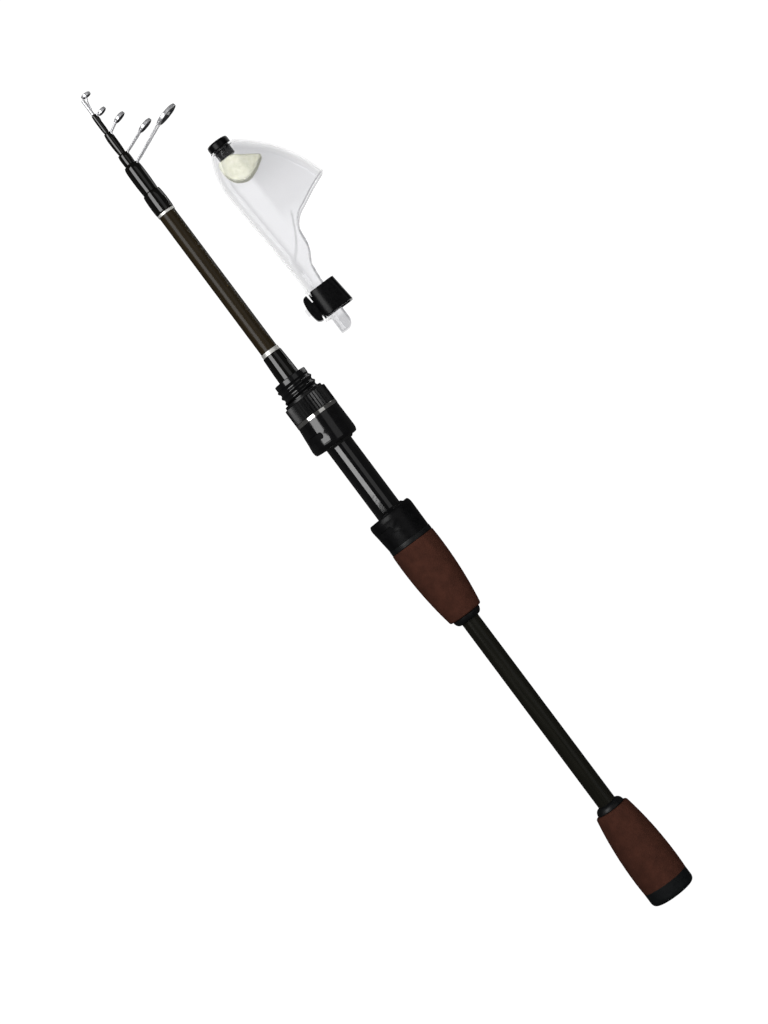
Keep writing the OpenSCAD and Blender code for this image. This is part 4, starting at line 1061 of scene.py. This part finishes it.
def strap_loop(a, r, top, corner):
    """Loop of the strap at a station along the neck: round below, with two rounded corners above."""
    below = arc((NECK_MID, 0), r, range(90, 271, 9))
    up = arc((top - corner, corner - r), corner, range(-90, 1, 15))
    down = [(b, -w) for b, w in reversed(up)]
    return [(a, b, w) for b, w in below + up + down]


def strap_part():
    """Loop of the strap with its wall, a little thinner at its two edges."""
    outer, inner = [], []
    for a, scale in STRAP_STATIONS:
        top = STRAP_TOP - STRAP_LEAN * a
        outer.append(strap_loop(a, STRAP_R * scale, top, STRAP_CORNER))
        inner.append(strap_loop(a, STRAP_BORE_R, top - STRAP_WALL, STRAP_BORE_CORNER))
    rings = outer + inner[::-1]
    return [p for ring in rings for p in ring], strip(len(rings), len(rings[0]), True)


def cover_strap():
    """Strap with its tab, which sits on the peg, and a notch on each side between the tab and the loop."""
    strap = make("cover_strap_rubber", in_cover(strap_part()), 50)
    tab = soften(TAB, 1.0)
    layers = [[(a * k, TAB_MIDDLE + (b - TAB_MIDDLE) * k, w) for a, b in tab] for w, k in TAB_LAYERS]
    combine(strap, in_cover(loft(layers)), "UNION")
    cut = [neck_bar(-BEYOND, BEYOND, NECK_R + NECK_PLAY, 2 * NECK_TOP),
           upright(0, TAB_HOLE_TOP, TAB_HOLE_END, TAB_HOLE_R)]
    for side, reach in NOTCHES:
        notch = soften([(reach, -5.6), (reach, -6.4), (9, -7.0), (9, -3.8)], 0.4)
        cut.append(prism([(side * a, b) for a, b in notch], -ACROSS, ACROSS))
    for part in cut:
        combine(strap, in_cover(part), "DIFFERENCE")
    smooth(strap, 40)
    place(strap, "cover", "cover_rubber", "cover_strap")


cover_shell()
cover_plug()
cover_pad()
cover_strap()


# Camera and lights, in metres, with the sensor and the floor's reach in millimetres
CAMERA_AT, CAMERA_TURN = (0.27024, 0.00262, 1.5), math.radians(-126.75)
VIEW_HEIGHT, SENSOR = 0.5775, 36
WORLD_SEEN, WORLD_LIGHT = 0.86, 0.06
FLOOR_REACH, FLOOR_GREY = 9000, 0.05
# Floor under the cover, in metres: axis, middle and half width
UNDER_COVER = (("X", 0.44, 0.08), ("Y", -0.07, 0.046))


def add_camera():
    """Camera straight above the rod, turned as in the photo."""
    camera = bpy.data.cameras.new("camera")
    camera.sensor_fit = "VERTICAL"
    camera.sensor_height = SENSOR
    camera.lens = SENSOR * CAMERA_AT[2] / VIEW_HEIGHT
    camera.clip_end = 20
    obj = link("camera", camera)
    obj.location = CAMERA_AT
    obj.rotation_euler = (0, 0, CAMERA_TURN)
    bpy.context.scene.camera = obj


def area(name, location, size, power, glossy=True):
    """Light that shines down from a rectangle, seen in reflections or not."""
    light = bpy.data.lights.new(name, "AREA")
    light.shape = "RECTANGLE"
    light.size, light.size_y = size
    light.energy = power
    obj = link(name, light)
    obj.location = location
    obj.visible_glossy = glossy


def shown(tree, path):
    """1 for what the camera sees, also through a clear piece, and 0 for light that falls on the object."""
    direct = calc(tree, "LESS_THAN", path["Diffuse Depth"], 0.5)
    through = calc(tree, "MULTIPLY", path["Is Transmission Ray"], direct)
    return calc(tree, "MAXIMUM", path["Is Camera Ray"], through)


def add_world():
    """Background that is bright to the camera and faint as a light."""
    world = bpy.data.worlds.new("world")
    bpy.context.scene.world = world
    world.use_nodes = True
    tree = world.node_tree
    background = tree.nodes["Background"]
    seen = shown(tree, add_node(tree, "LightPath").outputs)
    adjust(background, Color=(1, 1, 1, 1), Strength=calc(tree, "MULTIPLY_ADD", seen, WORLD_SEEN, WORLD_LIGHT))


def floor_material():
    """White to the camera, and under the clear cover also in its reflections."""
    material, tree, bsdf = new_material("floor_paint")
    path = add_node(tree, "LightPath").outputs
    at = axis_parts(tree, add_node(tree, "NewGeometry").outputs["Position"])
    inside = [calc(tree, "COMPARE", at[axis], middle, half) for axis, middle, half in UNDER_COVER]
    mirrored = calc(tree, "MULTIPLY", path["Is Glossy Ray"], calc(tree, "MULTIPLY", *inside))
    glow = calc(tree, "MAXIMUM", shown(tree, path), mirrored)
    adjust(bsdf, Base_Color=(FLOOR_GREY, FLOOR_GREY, FLOOR_GREY, 1), Roughness=0.9, Specular_IOR_Level=0.1,
           Emission_Color=(1, 1, 1, 1), Emission_Strength=glow)
    return material


def add_floor():
    """White floor that everything lies on."""
    sides = ((-1, -1), (1, -1), (1, 1), (-1, 1))
    corners = [(a * FLOOR_REACH, b * FLOOR_REACH, FLOOR_Z) for a, b in sides]
    floor = make("floor", (corners, [(0, 1, 2, 3)]))
    floor.data.materials.append(floor_material())


add_camera()
area("key", (0.755, 0.74, 1.0), (0.95, 1.0), 17.9)
area("card", (0.3, -0.7, 1.0), (1.2, 0.8), 1.4)
area("fill", (0.2, -0.2, 1.8), (2.4, 2.4), 11, glossy=False)
area("side", (0.25, -0.9, 0.7), (1.6, 0.8), 8, glossy=False)
add_world()
add_floor()
bpy.context.scene.view_settings.view_transform = "Standard"
